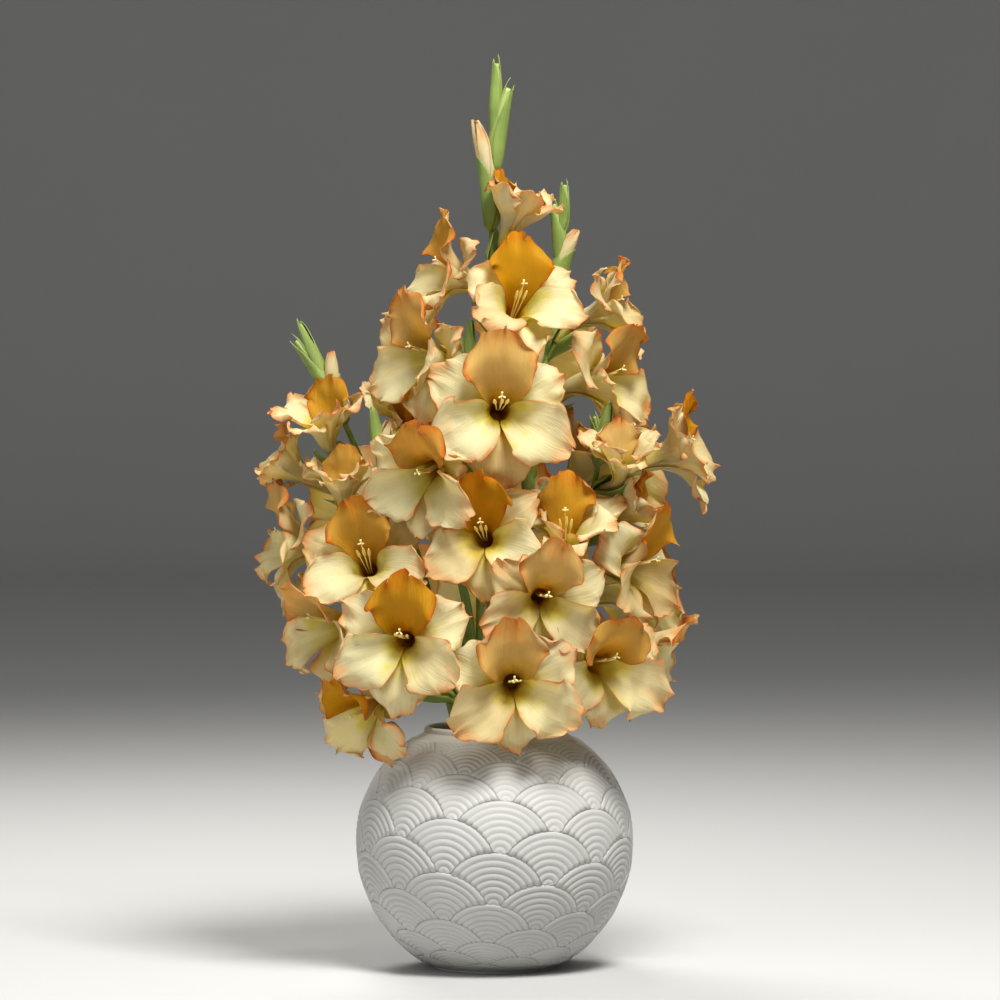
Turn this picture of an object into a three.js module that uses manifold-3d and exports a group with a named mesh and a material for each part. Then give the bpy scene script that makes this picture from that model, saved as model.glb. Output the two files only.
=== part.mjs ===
// A bouquet of cut gladiolus standing in a squat white vase.
// Units are millimetres and +Z is up. The front faces -Y, and +X is to the right of somebody who looks at it.

import * as THREE from 'three';
import Module from 'manifold-3d';

const wasm = await Module();
wasm.setup();
const { Manifold, Mesh: SolidMesh } = wasm;

// ---- Driving dimensions ----

const GAP = 0.3; // between pieces that touch
const FOOT_RADIUS = 48; // the flat that the vase stands on
const VASE_RADIUS = 110;
const VASE_WAIST = 102; // height of the widest place
const BELOW_WAIST = 113.5; // from the waist down to where the globe would close
const ABOVE_WAIST = 102; // and up to where it would close
const VASE_HEIGHT = 194;
const WALL = 5;
const FLOOR = 7; // height of the floor inside
const LIP_RADIUS = 56.4;
const INNER_STEP = 35; // between the rings of the vase's inside
const WATER_LEVEL = FLOOR + 3 * INNER_STEP;

const STEM_RADIUS = 4.4; // at the cut end
const STEM_TIP_RADIUS = 2;
const TUBE_RADIUS = 2.8; // of a full-size bloom's tube
const FUNNEL_RADIUS = 14.6; // of its end, where the petals stand
const PETAL_LENGTH = 68; // beyond the funnel
const PETAL_HALF_WIDTH = 28;
const BLADE = 0.8; // thickness of petals, bracts and leaves
const SLIVER = 0.5; // edges shorter than this are merged where green pieces join

const DEGREE = Math.PI / 180;
const UP = new THREE.Vector3(0, 0, 1);

const vector = ([x, y, z]) => new THREE.Vector3(x, y, z);

// A level turn from the front (0) to the right (90), and a pitch above the level.
function heading(turn, pitch) {
  const level = Math.cos(pitch * DEGREE);
  return new THREE.Vector3(
    level * Math.sin(turn * DEGREE),
    -level * Math.cos(turn * DEGREE),
    Math.sin(pitch * DEGREE),
  );
}

function smooth(x) {
  const t = Math.min(1, Math.max(0, x));
  return t * t * (3 - 2 * t);
}

// ---- Closed solids ----

// Points that coincide become one, and triangles that collapse are left out.
function solid(points, triangles) {
  const places = new Map();
  const coordinates = [];
  const index = points.map((p) => {
    const key = p.toArray().map((c) => Math.round(c * 1e3)).join();
    if (!places.has(key)) {
      places.set(key, places.size);
      coordinates.push(...p.toArray());
    }
    return places.get(key);
  });
  const corners = triangles
    .map((t) => t.map((i) => index[i]))
    .filter(([a, b, c]) => a !== b && b !== c && c !== a);
  const build = (faces) => new Manifold(new SolidMesh({
    numProp: 3,
    vertProperties: new Float32Array(coordinates),
    triVerts: new Uint32Array(faces.flat()),
  }));
  const body = build(corners);
  return body.volume() > 0 ? body : build(corners.map(([a, b, c]) => [a, c, b]));
}

// Faces of a thin blade between two grids of points, one for each side, split into the same triangles
// on both.
// A rooted blade is left open at its first row.
function bladeFaces(front, back, rooted) {
  const rows = front.length;
  const columns = front[0].length;
  const half = rows * columns;
  const at = (i, j) => i * columns + j;
  const triangles = [];
  const quad = (a, b, c, d) => triangles.push([a, b, c], [a, c, d]);
  const edge = (a, b) => quad(a, half + a, half + b, b);
  for (let i = 0; i + 1 < rows; i += 1) {
    for (let j = 0; j + 1 < columns; j += 1) {
      quad(at(i, j), at(i + 1, j), at(i + 1, j + 1), at(i, j + 1));
      triangles.push([half + at(i, j), half + at(i + 1, j + 1), half + at(i + 1, j)]);
      triangles.push([half + at(i, j), half + at(i, j + 1), half + at(i + 1, j + 1)]);
    }
    edge(at(i, 0), at(i + 1, 0));
    edge(at(i + 1, columns - 1), at(i, columns - 1));
  }
  for (let j = 0; j + 1 < columns; j += 1) {
    edge(at(rows - 1, j), at(rows - 1, j + 1));
    if (!rooted) {
      edge(at(0, j + 1), at(0, j));
    }
  }
  return { points: [...front.flat(), ...back.flat()], triangles };
}

function blade(front, back) {
  const { points, triangles } = bladeFaces(front, back, false);
  return solid(points, triangles);
}

// Several sets of faces as one.
function joined(parts) {
  const points = [];
  const triangles = [];
  parts.forEach((part) => {
    const first = points.length;
    points.push(...part.points);
    triangles.push(...part.triangles.map((corners) => corners.map((i) => i + first)));
  });
  return { points, triangles };
}

// Directions square to a curve, carried along it without twisting. The first one leans towards lead.
function stations(curve, places, lead) {
  let side = lead.clone();
  return places.map((place) => {
    const centre = curve.getPointAt(place);
    const along = curve.getTangentAt(place);
    side = side.clone().addScaledVector(along, -side.dot(along)).normalize();
    return { place, centre, along, side, other: along.clone().cross(side) };
  });
}

// Side faces of a round body along a curve, through a ring at each of the places, with a flat at the
// last ring.
function sweepFaces(curve, places, lead, sides, radiusAt) {
  const points = stations(curve, places, lead).flatMap(({ place, centre, side, other }) => (
    Array.from({ length: sides }, (_, k) => {
      const angle = (2 * Math.PI * (k + 0.5)) / sides;
      return centre.clone()
        .addScaledVector(side, radiusAt(place) * Math.cos(angle))
        .addScaledVector(other, radiusAt(place) * Math.sin(angle));
    })
  ));
  const forward = places[places.length - 1] > places[0];
  const triangles = [];
  const add = (a, b, c) => triangles.push(forward ? [a, b, c] : [a, c, b]);
  for (let i = 0; i + 1 < places.length; i += 1) {
    for (let k = 0; k < sides; k += 1) {
      const [a, b] = [i * sides + k, i * sides + ((k + 1) % sides)];
      add(a, b, b + sides);
      add(a, b + sides, a + sides);
    }
  }
  const last = (places.length - 1) * sides;
  for (let k = 1; k + 1 < sides; k += 1) {
    add(last, last + k, last + k + 1);
  }
  return { points, triangles };
}

// A round body along a curve from one place to another, with flat ends.
function sweep(curve, from, to, segments, sides, radiusAt) {
  const places = Array.from({ length: segments + 1 }, (_, i) => from + ((to - from) * i) / segments);
  const lead = Math.abs(curve.getTangentAt(from).x) < 0.8 ? new THREE.Vector3(1, 0, 0) : UP;
  const { points, triangles } = sweepFaces(curve, places, lead, sides, radiusAt);
  for (let k = 1; k + 1 < sides; k += 1) {
    triangles.push([0, k + 1, k]);
  }
  return solid(points, triangles);
}

// ---- Vase and water ----

// Radius of the globe at a height, taken in for its inside: two half ellipses that meet at the waist.
function globeRadius(height, inset) {
  const reach = height < VASE_WAIST ? BELOW_WAIST : ABOVE_WAIST;
  const rise = (height - VASE_WAIST) / (reach - inset);
  return (VASE_RADIUS - inset) * Math.sqrt(1 - rise * rise);
}

const LEDGE = 2.8; // height of the foot's edge, whose upper half is a fine recess
const RECESS = 1.4; // depth of that recess
const LIP_ROUND = 1; // the edges of the lip are cut this much
const GLOBE_TOP = 187.5; // height where the globe turns up into the lip
const VASE_SIDES = 24;

function globeOutline(from, to, steps, inset) {
  return Array.from({ length: steps + 1 }, (_, i) => {
    const height = from + ((to - from) * i) / steps;
    return [globeRadius(height, inset), height];
  });
}

// A solid turned from an outline of radius and height, which starts and ends on the axis.
function turned(outline) {
  const corners = outline.map(([radius, height]) => new THREE.Vector2(radius, height));
  const shape = new THREE.LatheGeometry(corners, VASE_SIDES).rotateX(Math.PI / 2);
  const { position } = shape.attributes;
  const pointAt = (_, i) => new THREE.Vector3().fromBufferAttribute(position, i);
  const points = Array.from({ length: position.count }, pointAt);
  const index = Array.from(shape.index.array);
  return solid(points, Array.from({ length: index.length / 3 }, (_, i) => index.slice(3 * i, 3 * i + 3)));
}

// The waves on the globe are round fans that overlap like scales. They stand on a slanted lattice, on a
// map of the globe that keeps shapes: across it goes the turn around the globe, and up it the way along
// the globe's side, each step of it counted in the radius that the globe has there.
const MAP_FOOT = -6; // the map starts where the globe would be, below the foot
const MAP_TOP = 196;
const FANS_ACROSS = 16; // the lattice closes on itself this many fan radii across
const FANS_DRIFT = 2; // and this many up
const FAN_RADIUS = (2 * Math.PI) / Math.hypot(FANS_ACROSS, FANS_DRIFT);
const FAN_TOP = 102.4; // a fan at the front has its top at this height
const FAN_TURN = 0.04; // and this far to the right
const FAN_FOOT_LIFT = 0.6; // of a fan's middle above the globe
const FAN_RIM_LIFT = 1.6; // and of its rim
const FANS_FROM = 14; // the fans are whole from this height
const FANS_TO = 178; // up to this one, and sink into the globe beyond
const FANS_END = 6; // within this height
const SINK = 2.6;
const FAN_MIDDLE = [0, 0.52];
// On the rim, between the top of a fan and the end of what shows of its rim.
const FAN_SHOULDER = [0.56, 0.83];

const map = [{ height: MAP_FOOT, up: 0 }];
for (let height = MAP_FOOT + 1; height <= MAP_TOP; height += 1) {
  const [a, b] = [globeRadius(height - 1, 0), globeRadius(height, 0)];
  map.push({ height, up: map[map.length - 1].up + Math.hypot(1, b - a) / ((a + b) / 2) });
}

function upAt(height) {
  const i = Math.floor(height) - MAP_FOOT;
  return map[i].up + (map[i + 1].up - map[i].up) * (height - map[i].height);
}

function heightAt(up) {
  const i = map.findIndex((place) => place.up > up) - 1;
  return map[i].height + (up - map[i].up) / (map[i + 1].up - map[i].up);
}

// A place of the map on the globe, lifted square to it. Small fans are lifted less.
function onGlobe(turn, up, lift) {
  const height = heightAt(up);
  const radius = globeRadius(height, 0);
  const within = Math.min(height - FANS_FROM, FANS_TO - height);
  const whole = smooth(1 + within / FANS_END);
  const moved = (0.2 + 0.8 * whole) * lift * (radius / VASE_RADIUS) - (1 - whole) * SINK;
  const reach = height < VASE_WAIST ? BELOW_WAIST : ABOVE_WAIST;
  const square = new THREE.Vector2(radius / VASE_RADIUS ** 2, (height - VASE_WAIST) / reach ** 2);
  square.normalize().multiplyScalar(moved);
  const out = radius + square.x;
  return new THREE.Vector3(out * Math.sin(turn), -out * Math.cos(turn), height + square.y);
}

// One fan. Its middle lies a step below the rim of the fan under it, and its rim ends on the tops of
// those beside.
function fanFaces(x, y, place) {
  const radiusOf = ([across, up]) => Math.hypot(across, up);
  const liftAt = (r) => FAN_FOOT_LIFT + (FAN_RIM_LIFT - FAN_FOOT_LIFT) * Math.min(1, r * r);
  const low = ([across, up], r) => place(x + across, y + up, liftAt(r));
  const rim = ([across, up]) => place(x + across, y + up, FAN_RIM_LIFT);
  const mirrored = ([across, up]) => [-across, up];
  const beside = [1 - FAN_SHOULDER[0], FAN_SHOULDER[1] - 0.5];
  const points = [low([0, 0], 0), low(FAN_MIDDLE, radiusOf(FAN_MIDDLE)), rim([0, 1])];
  const triangles = [];
  [(p) => p, mirrored].forEach((side, k) => {
    const first = points.length;
    points.push(
      low(side(beside), radiusOf(beside)),
      rim(side([1, 0.5])),
      low(side([1, 0.5]), 0),
      rim(side(FAN_SHOULDER)),
      low(side(FAN_SHOULDER), radiusOf(beside)),
    );
    const [near, end, endFoot, shoulder, shoulderFoot] = [0, 1, 2, 3, 4].map((i) => first + i);
    const faces = [
      [0, near, 1],
      [near, shoulder, 1],
      [near, end, shoulder],
      [shoulder, 2, 1],
      [2, shoulder, shoulderFoot],
      [shoulder, end, endFoot],
      [shoulder, endFoot, shoulderFoot],
    ];
    triangles.push(...faces.map(([a, b, c]) => (k ? [a, c, b] : [a, b, c])));
  });
  return { points, triangles };
}

// The globe of waves, closed inside the vase at its foot and its top.
function waveGlobe() {
  const [cos, sin] = [Math.cos, Math.sin].map((f) => f(Math.atan2(FANS_DRIFT, FANS_ACROSS)));
  const origin = upAt(FAN_TOP);
  const mapPlace = (x, y) => [
    FAN_TURN + FAN_RADIUS * (x * cos + y * sin),
    origin + FAN_RADIUS * (y * cos - x * sin),
  ];
  const place = (x, y, lift) => onGlobe(...mapPlace(x, y), lift);
  const fans = [];
  for (let row = -20; row <= 20; row += 1) {
    for (let column = -20; column <= 20; column += 1) {
      const [x, y] = [2 * column + row, row / 2 - 1];
      const [turn] = mapPlace(x, y);
      const ups = [[0, 0], [0, 1], [1, 0.5], [-1, 0.5]]
        .map(([across, up]) => mapPlace(x + across, y + up)[1]);
      const whole = Math.min(...ups) > 0 && Math.max(...ups) < map[map.length - 1].up;
      if (whole && turn >= -Math.PI && turn < Math.PI) {
        fans.push(fanFaces(x, y, place));
      }
    }
  }
  const { points, triangles } = joined(fans);
  const key = (i) => points[i].toArray().map((c) => Math.round(c * 1e3)).join();
  const edges = triangles.flatMap(([a, b, c]) => [[a, b], [b, c], [c, a]]);
  const drawn = new Set(edges.map(([a, b]) => `${key(a)} to ${key(b)}`));
  const open = edges.filter(([a, b]) => !drawn.has(`${key(b)} to ${key(a)}`));
  const foot = points.push(new THREE.Vector3(0, 0, MAP_FOOT + 10)) - 1;
  const top = points.push(new THREE.Vector3(0, 0, MAP_TOP - 10)) - 1;
  open.forEach(([a, b]) => triangles.push([b, a, points[a].z < VASE_WAIST ? foot : top]));
  return solid(points, triangles).trimByPlane([0, 0, 1], LEDGE);
}

function vaseShape() {
  const plain = turned([
    [0, 0],
    [FOOT_RADIUS, 0],
    [FOOT_RADIUS, LEDGE / 2],
    [FOOT_RADIUS - RECESS, LEDGE / 2],
    [FOOT_RADIUS - RECESS, LEDGE],
    [globeRadius(LEDGE, 0), LEDGE],
    [globeRadius(FANS_FROM - FANS_END + 2, 0), FANS_FROM - FANS_END + 2],
    ...globeOutline(FANS_FROM + 2, FANS_TO - 2, 6, SINK + 0.6),
    [globeRadius(FANS_TO + FANS_END - 2, 0), FANS_TO + FANS_END - 2],
    [globeRadius(GLOBE_TOP, 0), GLOBE_TOP],
    [LIP_RADIUS, GLOBE_TOP + 3],
    [LIP_RADIUS, VASE_HEIGHT - LIP_ROUND],
    [LIP_RADIUS - LIP_ROUND, VASE_HEIGHT],
    [0, VASE_HEIGHT],
  ]);
  const inside = turned([
    [0, FLOOR],
    ...globeOutline(FLOOR, FLOOR + 4 * INNER_STEP, 4, WALL),
    [globeRadius(GLOBE_TOP - 3, WALL), GLOBE_TOP - 3],
    [LIP_RADIUS - WALL, VASE_HEIGHT - LIP_ROUND],
    [LIP_RADIUS - WALL + 2 * LIP_ROUND, VASE_HEIGHT + LIP_ROUND],
    [0, VASE_HEIGHT + LIP_ROUND],
  ]);
  return Manifold.union([plain, waveGlobe()]).subtract(inside).simplify(0.02);
}

function waterShape(holes) {
  const inset = WALL + 2 * GAP; // the sides of the vase are flats, so the water keeps clear of their middles
  const sides = globeOutline(FLOOR, WATER_LEVEL, 3, inset);
  sides[0][1] += GAP;
  return turned([[0, FLOOR + GAP], ...sides, [0, WATER_LEVEL]]).subtract(Manifold.union(holes));
}

// ---- Spikes: stem, ovaries, bracts, buds and sword leaves ----

// line: points of the stem from its cut end on the floor of the vase to its tip.
// buds: height on the stem, then the tip of the bud, then its radius.
// leaves: height on the stem, then the tip of the leaf, then its greatest width.
const FOOTING = FLOOR - 4; // the stems are drawn from below the floor and cut level just above it
const SPIKES = {
  centre: {
    line: [[2, 0, FOOTING], [0, 0, 194], [-6, 4, 400], [-3, 6, 560], [1, 4, 676]],
    buds: [[664, [2, 2, 732], 4.6], [636, [14, 0, 713], 6], [590, [-16, -2, 680], 7]],
    leaves: [[230, [14, 4, 420], 15]],
  },
  back: {
    line: [[-32, 6, FOOTING], [15, 27, 194], [26, 34, 380], [48, 40, 530], [55, 42, 596]],
    buds: [[588, [57, 42, 633], 4.4], [566, [46, 40, 618], 4.8], [546, [67, 40, 592], 6]],
    leaves: [[226, [2, 52, 350], 15]],
  },
  right: {
    line: [[-11, 30, FOOTING], [31, 0, 194], [50, 0, 290], [78, -4, 380], [86, -16, 424]],
    buds: [[418, [92, -24, 456], 4.4], [402, [78, -22, 448], 4.4]],
    leaves: [[214, [70, 22, 350], 14]],
  },
  left: {
    line: [[11, -30, FOOTING], [-31, 0, 194], [-62, 10, 300], [-104, 8, 400], [-140, 4, 480]],
    buds: [[472, [-158, 3, 521], 4.8], [456, [-164, 2, 508], 5], [436, [-130, 0, 495], 6.4]],
    leaves: [[220, [-70, 24, 360], 15], [300, [-96, -10, 440], 12]],
  },
  low_left: {
    line: [[32, -6, FOOTING], [-16, -27, 194], [-50, -34, 270], [-78, -34, 360], [-92, -28, 420]],
    buds: [[412, [-98, -28, 452], 4.6], [398, [-84, -28, 440], 4.6]],
    leaves: [[206, [-64, -40, 300], 13]],
  },
  low_front: {
    line: [[21, 25, FOOTING], [15, -27, 194], [20, -40, 270], [26, -34, 350], [28, -24, 398]],
    buds: [[390, [30, -18, 436], 4.8], [378, [20, -22, 420], 4.6]],
    leaves: [[206, [-8, -46, 290], 13]],
  },
  rear: {
    line: [[-21, -25, FOOTING], [-16, 27, 194], [-12, 58, 290], [-18, 64, 400], [-20, 62, 486]],
    buds: [[478, [-20, 62, 522], 4.4], [460, [-30, 64, 508], 4.8], [442, [-10, 66, 498], 5.4]],
    leaves: [[216, [-40, 64, 350], 14]],
  },
};

// Place along a stem's curve that stands at a height.
function placeAt(curve, height) {
  let [low, high] = [0, 1];
  for (let i = 0; i < 30; i += 1) {
    const middle = (low + high) / 2;
    [low, high] = curve.getPointAt(middle).z < height ? [middle, high] : [low, middle];
  }
  return low;
}

const stemRadius = (place) => STEM_RADIUS + (STEM_TIP_RADIUS - STEM_RADIUS) * place;

function stemCurve({ line }) {
  return new THREE.CatmullRomCurve3(line.map(vector), false, 'centripetal');
}

// A closed bud in its bracts: a long spindle that leaves the stem upwards.
function bud(curve, [height, tip, radius]) {
  const foot = curve.getPointAt(placeAt(curve, height));
  const top = vector(tip);
  const along = curve.getTangentAt(placeAt(curve, height));
  const length = foot.distanceTo(top);
  const path = new THREE.QuadraticBezierCurve3(foot, foot.clone().addScaledVector(along, length / 2), top);
  const swell = [0.3, 1, 0.8, 0.06];
  return sweep(path, 0, 1, 3, 5, (place) => radius * swell[Math.round(place * 3)]);
}

// A sword leaf: folded along its middle, rising from the stem to a point.
function leaf(curve, [height, tip, width]) {
  const foot = curve.getPointAt(placeAt(curve, height));
  const along = curve.getTangentAt(placeAt(curve, height));
  const top = vector(tip);
  const length = foot.distanceTo(top);
  const path = new THREE.QuadraticBezierCurve3(foot, foot.clone().addScaledVector(along, length / 2), top);
  const outward = top.clone().sub(foot).addScaledVector(along, -length);
  const widths = [0.6, 1, 0.8, 0];
  const lead = outward.lengthSq() > 1 ? outward : new THREE.Vector3(1, 0, 0);
  const rows = stations(path, widths.map((_, i) => i / (widths.length - 1)), lead);
  const face = (lift) => rows.map(({ centre, side, other }, i) => [-1, 0, 1].map((across) => (
    centre.clone()
      .addScaledVector(other, (across * widths[i] * width) / 2)
      .addScaledVector(side, lift + 0.2 * Math.abs(across) * widths[i] * width)
  )));
  return blade(face(BLADE / 2), face(-BLADE / 2));
}

// ---- Blooms ----

// spike, height on the spike, throat (where the petals leave the tube), turn and pitch that the bloom faces,
// roll, how far it is open (0 to 1), size. Blooms at the front come first: later ones give way to them.
const BLOOMS = {
  centre_front: ['centre', 404, [4, -56, 448], 3, 2, 0, 1, 1],
  low_front_hanging: ['low_front', 206, [14, -88, 234], 4, -8, 4, 1, 0.92],
  right_front: ['low_front', 256, [36, -88, 302], 8, -10, -8, 0.9, 0.86],
  low_left_front: ['low_left', 232, [-70, -84, 268], -8, -4, -4, 1, 0.9],
  low_front_right: ['low_front', 230, [80, -62, 248], 26, -4, 0, 0.95, 0.92],
  low_front_high: ['low_front', 306, [-8, -54, 346], -4, 10, 6, 0.9, 0.86],
  centre_hanging: ['centre', 352, [-48, -62, 402], -22, -18, -6, 0.85, 0.88],
  left_front: ['left', 282, [-100, -44, 322], -8, 22, 8, 0.9, 0.88],
  right_up: ['right', 306, [56, -50, 340], 0, 56, 0, 0.6, 0.8],
  centre_left: ['centre', 436, [-42, -30, 490], -48, 0, 0, 0.85, 0.9],
  centre_high: ['centre', 480, [16, -30, 524], 18, 32, 0, 0.75, 0.86],
  centre_left_high: ['centre', 506, [-22, -14, 550], -70, 18, 0, 0.75, 0.8],
  centre_top: ['centre', 552, [12, -2, 592], 76, 66, 0, 0.35, 0.64],
  right_side: ['right', 296, [98, -26, 322], 62, -4, 0, 0.9, 0.9],
  right_slim: ['right', 334, [98, -22, 362], 74, 26, 0, 0.25, 0.6],
  right_outer: ['right', 358, [132, 12, 408], 82, 18, 0, 0.6, 0.8],
  right_top: ['right', 378, [100, -34, 398], 12, 66, 0, 0.45, 0.6],
  low_right_side: ['right', 226, [108, -16, 256], 74, -6, 0, 0.8, 0.84],
  low_left_side: ['low_left', 250, [-118, -46, 278], -56, -4, 0, 0.9, 0.88],
  low_left_hanging: ['low_left', 214, [-92, -46, 216], -44, -34, 0, 0.8, 0.8],
  low_left_high: ['low_left', 384, [-70, -10, 436], -10, 44, 0, 0.5, 0.64],
  left_side: ['left', 296, [-144, -2, 338], -78, 8, 0, 0.75, 0.86],
  left_up: ['left', 350, [-120, -26, 376], -8, 74, 0, 0.35, 0.62],
  left_outer: ['left', 350, [-152, 6, 394], -86, 30, 0, 0.4, 0.62],
  left_top: ['left', 396, [-134, -10, 424], -30, 68, 0, 0.5, 0.7],
  back_side: ['back', 484, [78, 28, 522], 78, 16, 0, 0.6, 0.72],
  back_right: ['back', 414, [74, 10, 468], 58, 4, 0, 0.9, 0.9],
  back_up: ['back', 346, [64, 32, 388], 100, 52, 0, 0.7, 0.8],
  back_rear: ['back', 440, [34, 84, 492], 168, 12, 0, 0.9, 0.9],
  back_rear_low: ['back', 352, [84, 84, 396], 136, 2, 0, 0.85, 0.88],
  right_rear: ['right', 246, [98, 52, 296], 128, -2, 0, 0.85, 0.9],
  left_rear: ['left', 310, [-96, 60, 356], -154, 8, 0, 0.85, 0.9],
  rear_high: ['rear', 384, [-36, 108, 424], -168, 12, 0, 0.9, 0.9],
  rear_middle: ['rear', 310, [16, 108, 346], 164, 4, 0, 0.95, 0.95],
  rear_low: ['rear', 240, [-46, 100, 276], -156, -6, 0, 0.95, 0.95],
  rear_hanging: ['rear', 218, [36, 94, 250], 156, -14, 0, 0.9, 0.9],
};

// The six petals: turn about the bloom's axis, layer, length, width, flare of the open bloom, curl of
// the tip.
const PETALS = [
  { turn: 90, inner: true, long: 1, broad: 1.04, flare: 62, curl: 4 },
  { turn: 210, inner: true, long: 0.96, broad: 0.96, flare: 70, curl: 12 },
  { turn: 330, inner: true, long: 0.96, broad: 0.96, flare: 70, curl: 12 },
  { turn: 30, inner: false, long: 0.98, broad: 0.98, flare: 80, curl: 16 },
  { turn: 150, inner: false, long: 0.98, broad: 0.98, flare: 80, curl: 16 },
  { turn: 270, inner: false, long: 0.94, broad: 0.86, flare: 84, curl: 20 },
];
const INNER_ROOT = 9; // distance of the petals' roots from the bloom's axis, for each layer
const OUTER_ROOT = 11.8;
const ROOT_SPREAD = 50; // half the angle that a root takes up around the axis
const ROOT_ANGLE = 24; // between a petal's root and the axis
const FLARE_END = 0.6; // how far along it a petal has opened to its flare
const RUFFLE = 4.5; // height of the waves of a petal's edge
const WAVES = 1.4; // along an edge
const EDGE_SHIFT = 2.1; // half the phase between the waves of the two edges
const FRILL = 0.5; // height of the waves across the tip, as a share of the ruffle
const FRILL_TURN = 5.5; // phase of those waves at the edge
const ROUND_TIP = 0.17; // how much shorter a petal is at its edges
const CUP_RADIUS = 90; // a petal is bent around its middle this gently
const PETAL_ROWS = [0, 0.32, 0.66, 1];
const YOUNG_PETAL_ROWS = [0, 0.5, 1]; // of a bloom that is not yet open this far
const GROWN = 0.75;
const YIELDS = [1, 0.9, 0.8, 0.7, 0.6, 0.5].flatMap((shrink) => (
  [0, -10, 10, -20, 20, -32, -44].map((bend) => ({ shrink, bend }))
));
const PETAL_CLEARANCE = 0.9; // leaves room for the petals' ruffles
const LAYER_GAP = 0.3; // between the petals of one bloom

// Width of a petal along it, as a share of its greatest width: narrow at the root, broadest past its middle.
function petalWidth(v) {
  return 0.3 * (1 - v) ** 2 + Math.sin(2.32 * v ** 1.1);
}

// Angle between a petal's midrib and the bloom's axis, a share v of the way along it.
function petalAngle(petal, open, bend, v) {
  const flare = ROOT_ANGLE + (petal.flare - ROOT_ANGLE) * open + bend;
  const curl = petal.curl * open * smooth((v - FLARE_END) / (1 - FLARE_END));
  return (ROOT_ANGLE + (flare - ROOT_ANGLE) * smooth(v / FLARE_END) + curl) * DEGREE;
}

// The point and the facing of a petal's middle layer, in the bloom's own frame: v along it from 0 to 1,
// w across it from -1 to 1.
function petalPoint(petal, { open, size, phase }, { bend, shrink }, v, w) {
  const root = (petal.inner ? INNER_ROOT : OUTER_ROOT) * size;
  const turn = petal.turn * DEGREE;
  if (v === 0) {
    const swung = turn + w * ROOT_SPREAD * DEGREE;
    const outward = vector([Math.cos(swung), Math.sin(swung), 0]);
    return { point: outward.clone().multiplyScalar(root), normal: outward.negate() };
  }
  const length = PETAL_LENGTH * petal.long * size * shrink;
  const reach = v * (1 - ROUND_TIP * w * w * v * v);
  const steps = 12;
  let [out, up] = [root, 0];
  for (let i = 0; i < steps; i += 1) {
    const angle = petalAngle(petal, open, bend, (reach * (i + 0.5)) / steps);
    out += (length * reach * Math.sin(angle)) / steps;
    up += (length * reach * Math.cos(angle)) / steps;
  }
  const angle = petalAngle(petal, open, bend, reach);
  const aside = w * PETAL_HALF_WIDTH * petal.broad * size * shrink * petalWidth(v);
  const curvature = (1 - v) ** 2 / root + 1 / (CUP_RADIUS * size);
  const swing = aside * curvature;
  const edge = Math.abs(w) ** 1.5 * smooth(v * 1.5);
  const wave = Math.sin(2 * Math.PI * WAVES * v + phase + EDGE_SHIFT * Math.sign(w));
  const frill = FRILL * v ** 4 * Math.sin(FRILL_TURN * w + phase);
  const lift = RUFFLE * size * (edge * wave + frill);
  const radial = vector([Math.cos(turn), Math.sin(turn), 0]);
  const tangent = vector([-radial.y, radial.x, 0]);
  const face = radial.clone().multiplyScalar(-Math.cos(angle)).addScaledVector(UP, Math.sin(angle));
  const point = radial.multiplyScalar(out)
    .addScaledVector(UP, up)
    .addScaledVector(tangent, Math.sin(swing) / curvature)
    .addScaledVector(face, (1 - Math.cos(swing)) / curvature + lift);
  const normal = face.multiplyScalar(Math.cos(swing)).addScaledVector(tangent, -Math.sin(swing));
  return { point, normal };
}

// The two faces of a petal as grids of points in the bouquet's frame.
function petalGrids(petal, bloom, manner) {
  const rows = bloom.open < GROWN ? YOUNG_PETAL_ROWS : PETAL_ROWS;
  return [BLADE / 2, -BLADE / 2].map((lift) => rows.map((v) => [-1, 0, 1].map((w) => {
    const { point, normal } = petalPoint(petal, bloom, manner, v, w);
    return point.addScaledVector(normal, lift).applyMatrix4(bloom.frame);
  })));
}

// A bloom's neck, from the middle of its stem to its throat, and the frame that its petals stand in: +Z
// is the way it faces and +Y its upper side.
function bloomFrom(name, order) {
  const [spike, height, throat, turn, pitch, roll, open, size] = BLOOMS[name];
  const curve = stemCurve(SPIKES[spike]);
  const foot = curve.getPointAt(placeAt(curve, height));
  const end = vector(throat);
  const facing = heading(turn, pitch);
  const reach = foot.distanceTo(end);
  const leaving = end.clone().sub(foot).normalize()
    .add(curve.getTangentAt(placeAt(curve, height))).normalize();
  const neck = new THREE.CubicBezierCurve3(
    foot,
    foot.clone().addScaledVector(leaving, 0.4 * reach),
    end.clone().addScaledVector(facing, -0.4 * reach),
    end,
  );
  const lean = leaving.angleTo(curve.getTangentAt(placeAt(curve, height)));
  const hold = stemRadius(placeAt(curve, height));
  const start = (hold + TUBE_RADIUS * Math.cos(lean) + 3 * GAP) / Math.sin(lean) / neck.getLength();
  const upper = UP.clone().addScaledVector(facing, -facing.z).normalize()
    .applyAxisAngle(facing, roll * DEGREE);
  const right = upper.clone().cross(facing);
  const frame = new THREE.Matrix4().makeBasis(right, upper, facing).setPosition(end);
  return { name, spike, neck, start, hold, frame, right, open, size, order };
}

// The tube widens slowly to its throat, and then fast into the funnel.
const THROAT = 0.62;
const THROAT_RADIUS = 6;

function tubeRadius(size, place) {
  return size * (place < THROAT
    ? TUBE_RADIUS + ((THROAT_RADIUS - TUBE_RADIUS) * place) / THROAT
    : THROAT_RADIUS + ((FUNNEL_RADIUS - THROAT_RADIUS) * (place - THROAT)) / (1 - THROAT));
}

function tubeFaces({ neck, start, right, size }) {
  return sweepFaces(neck, [1, THROAT, start], right, 6, (place) => tubeRadius(size, place));
}

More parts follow.
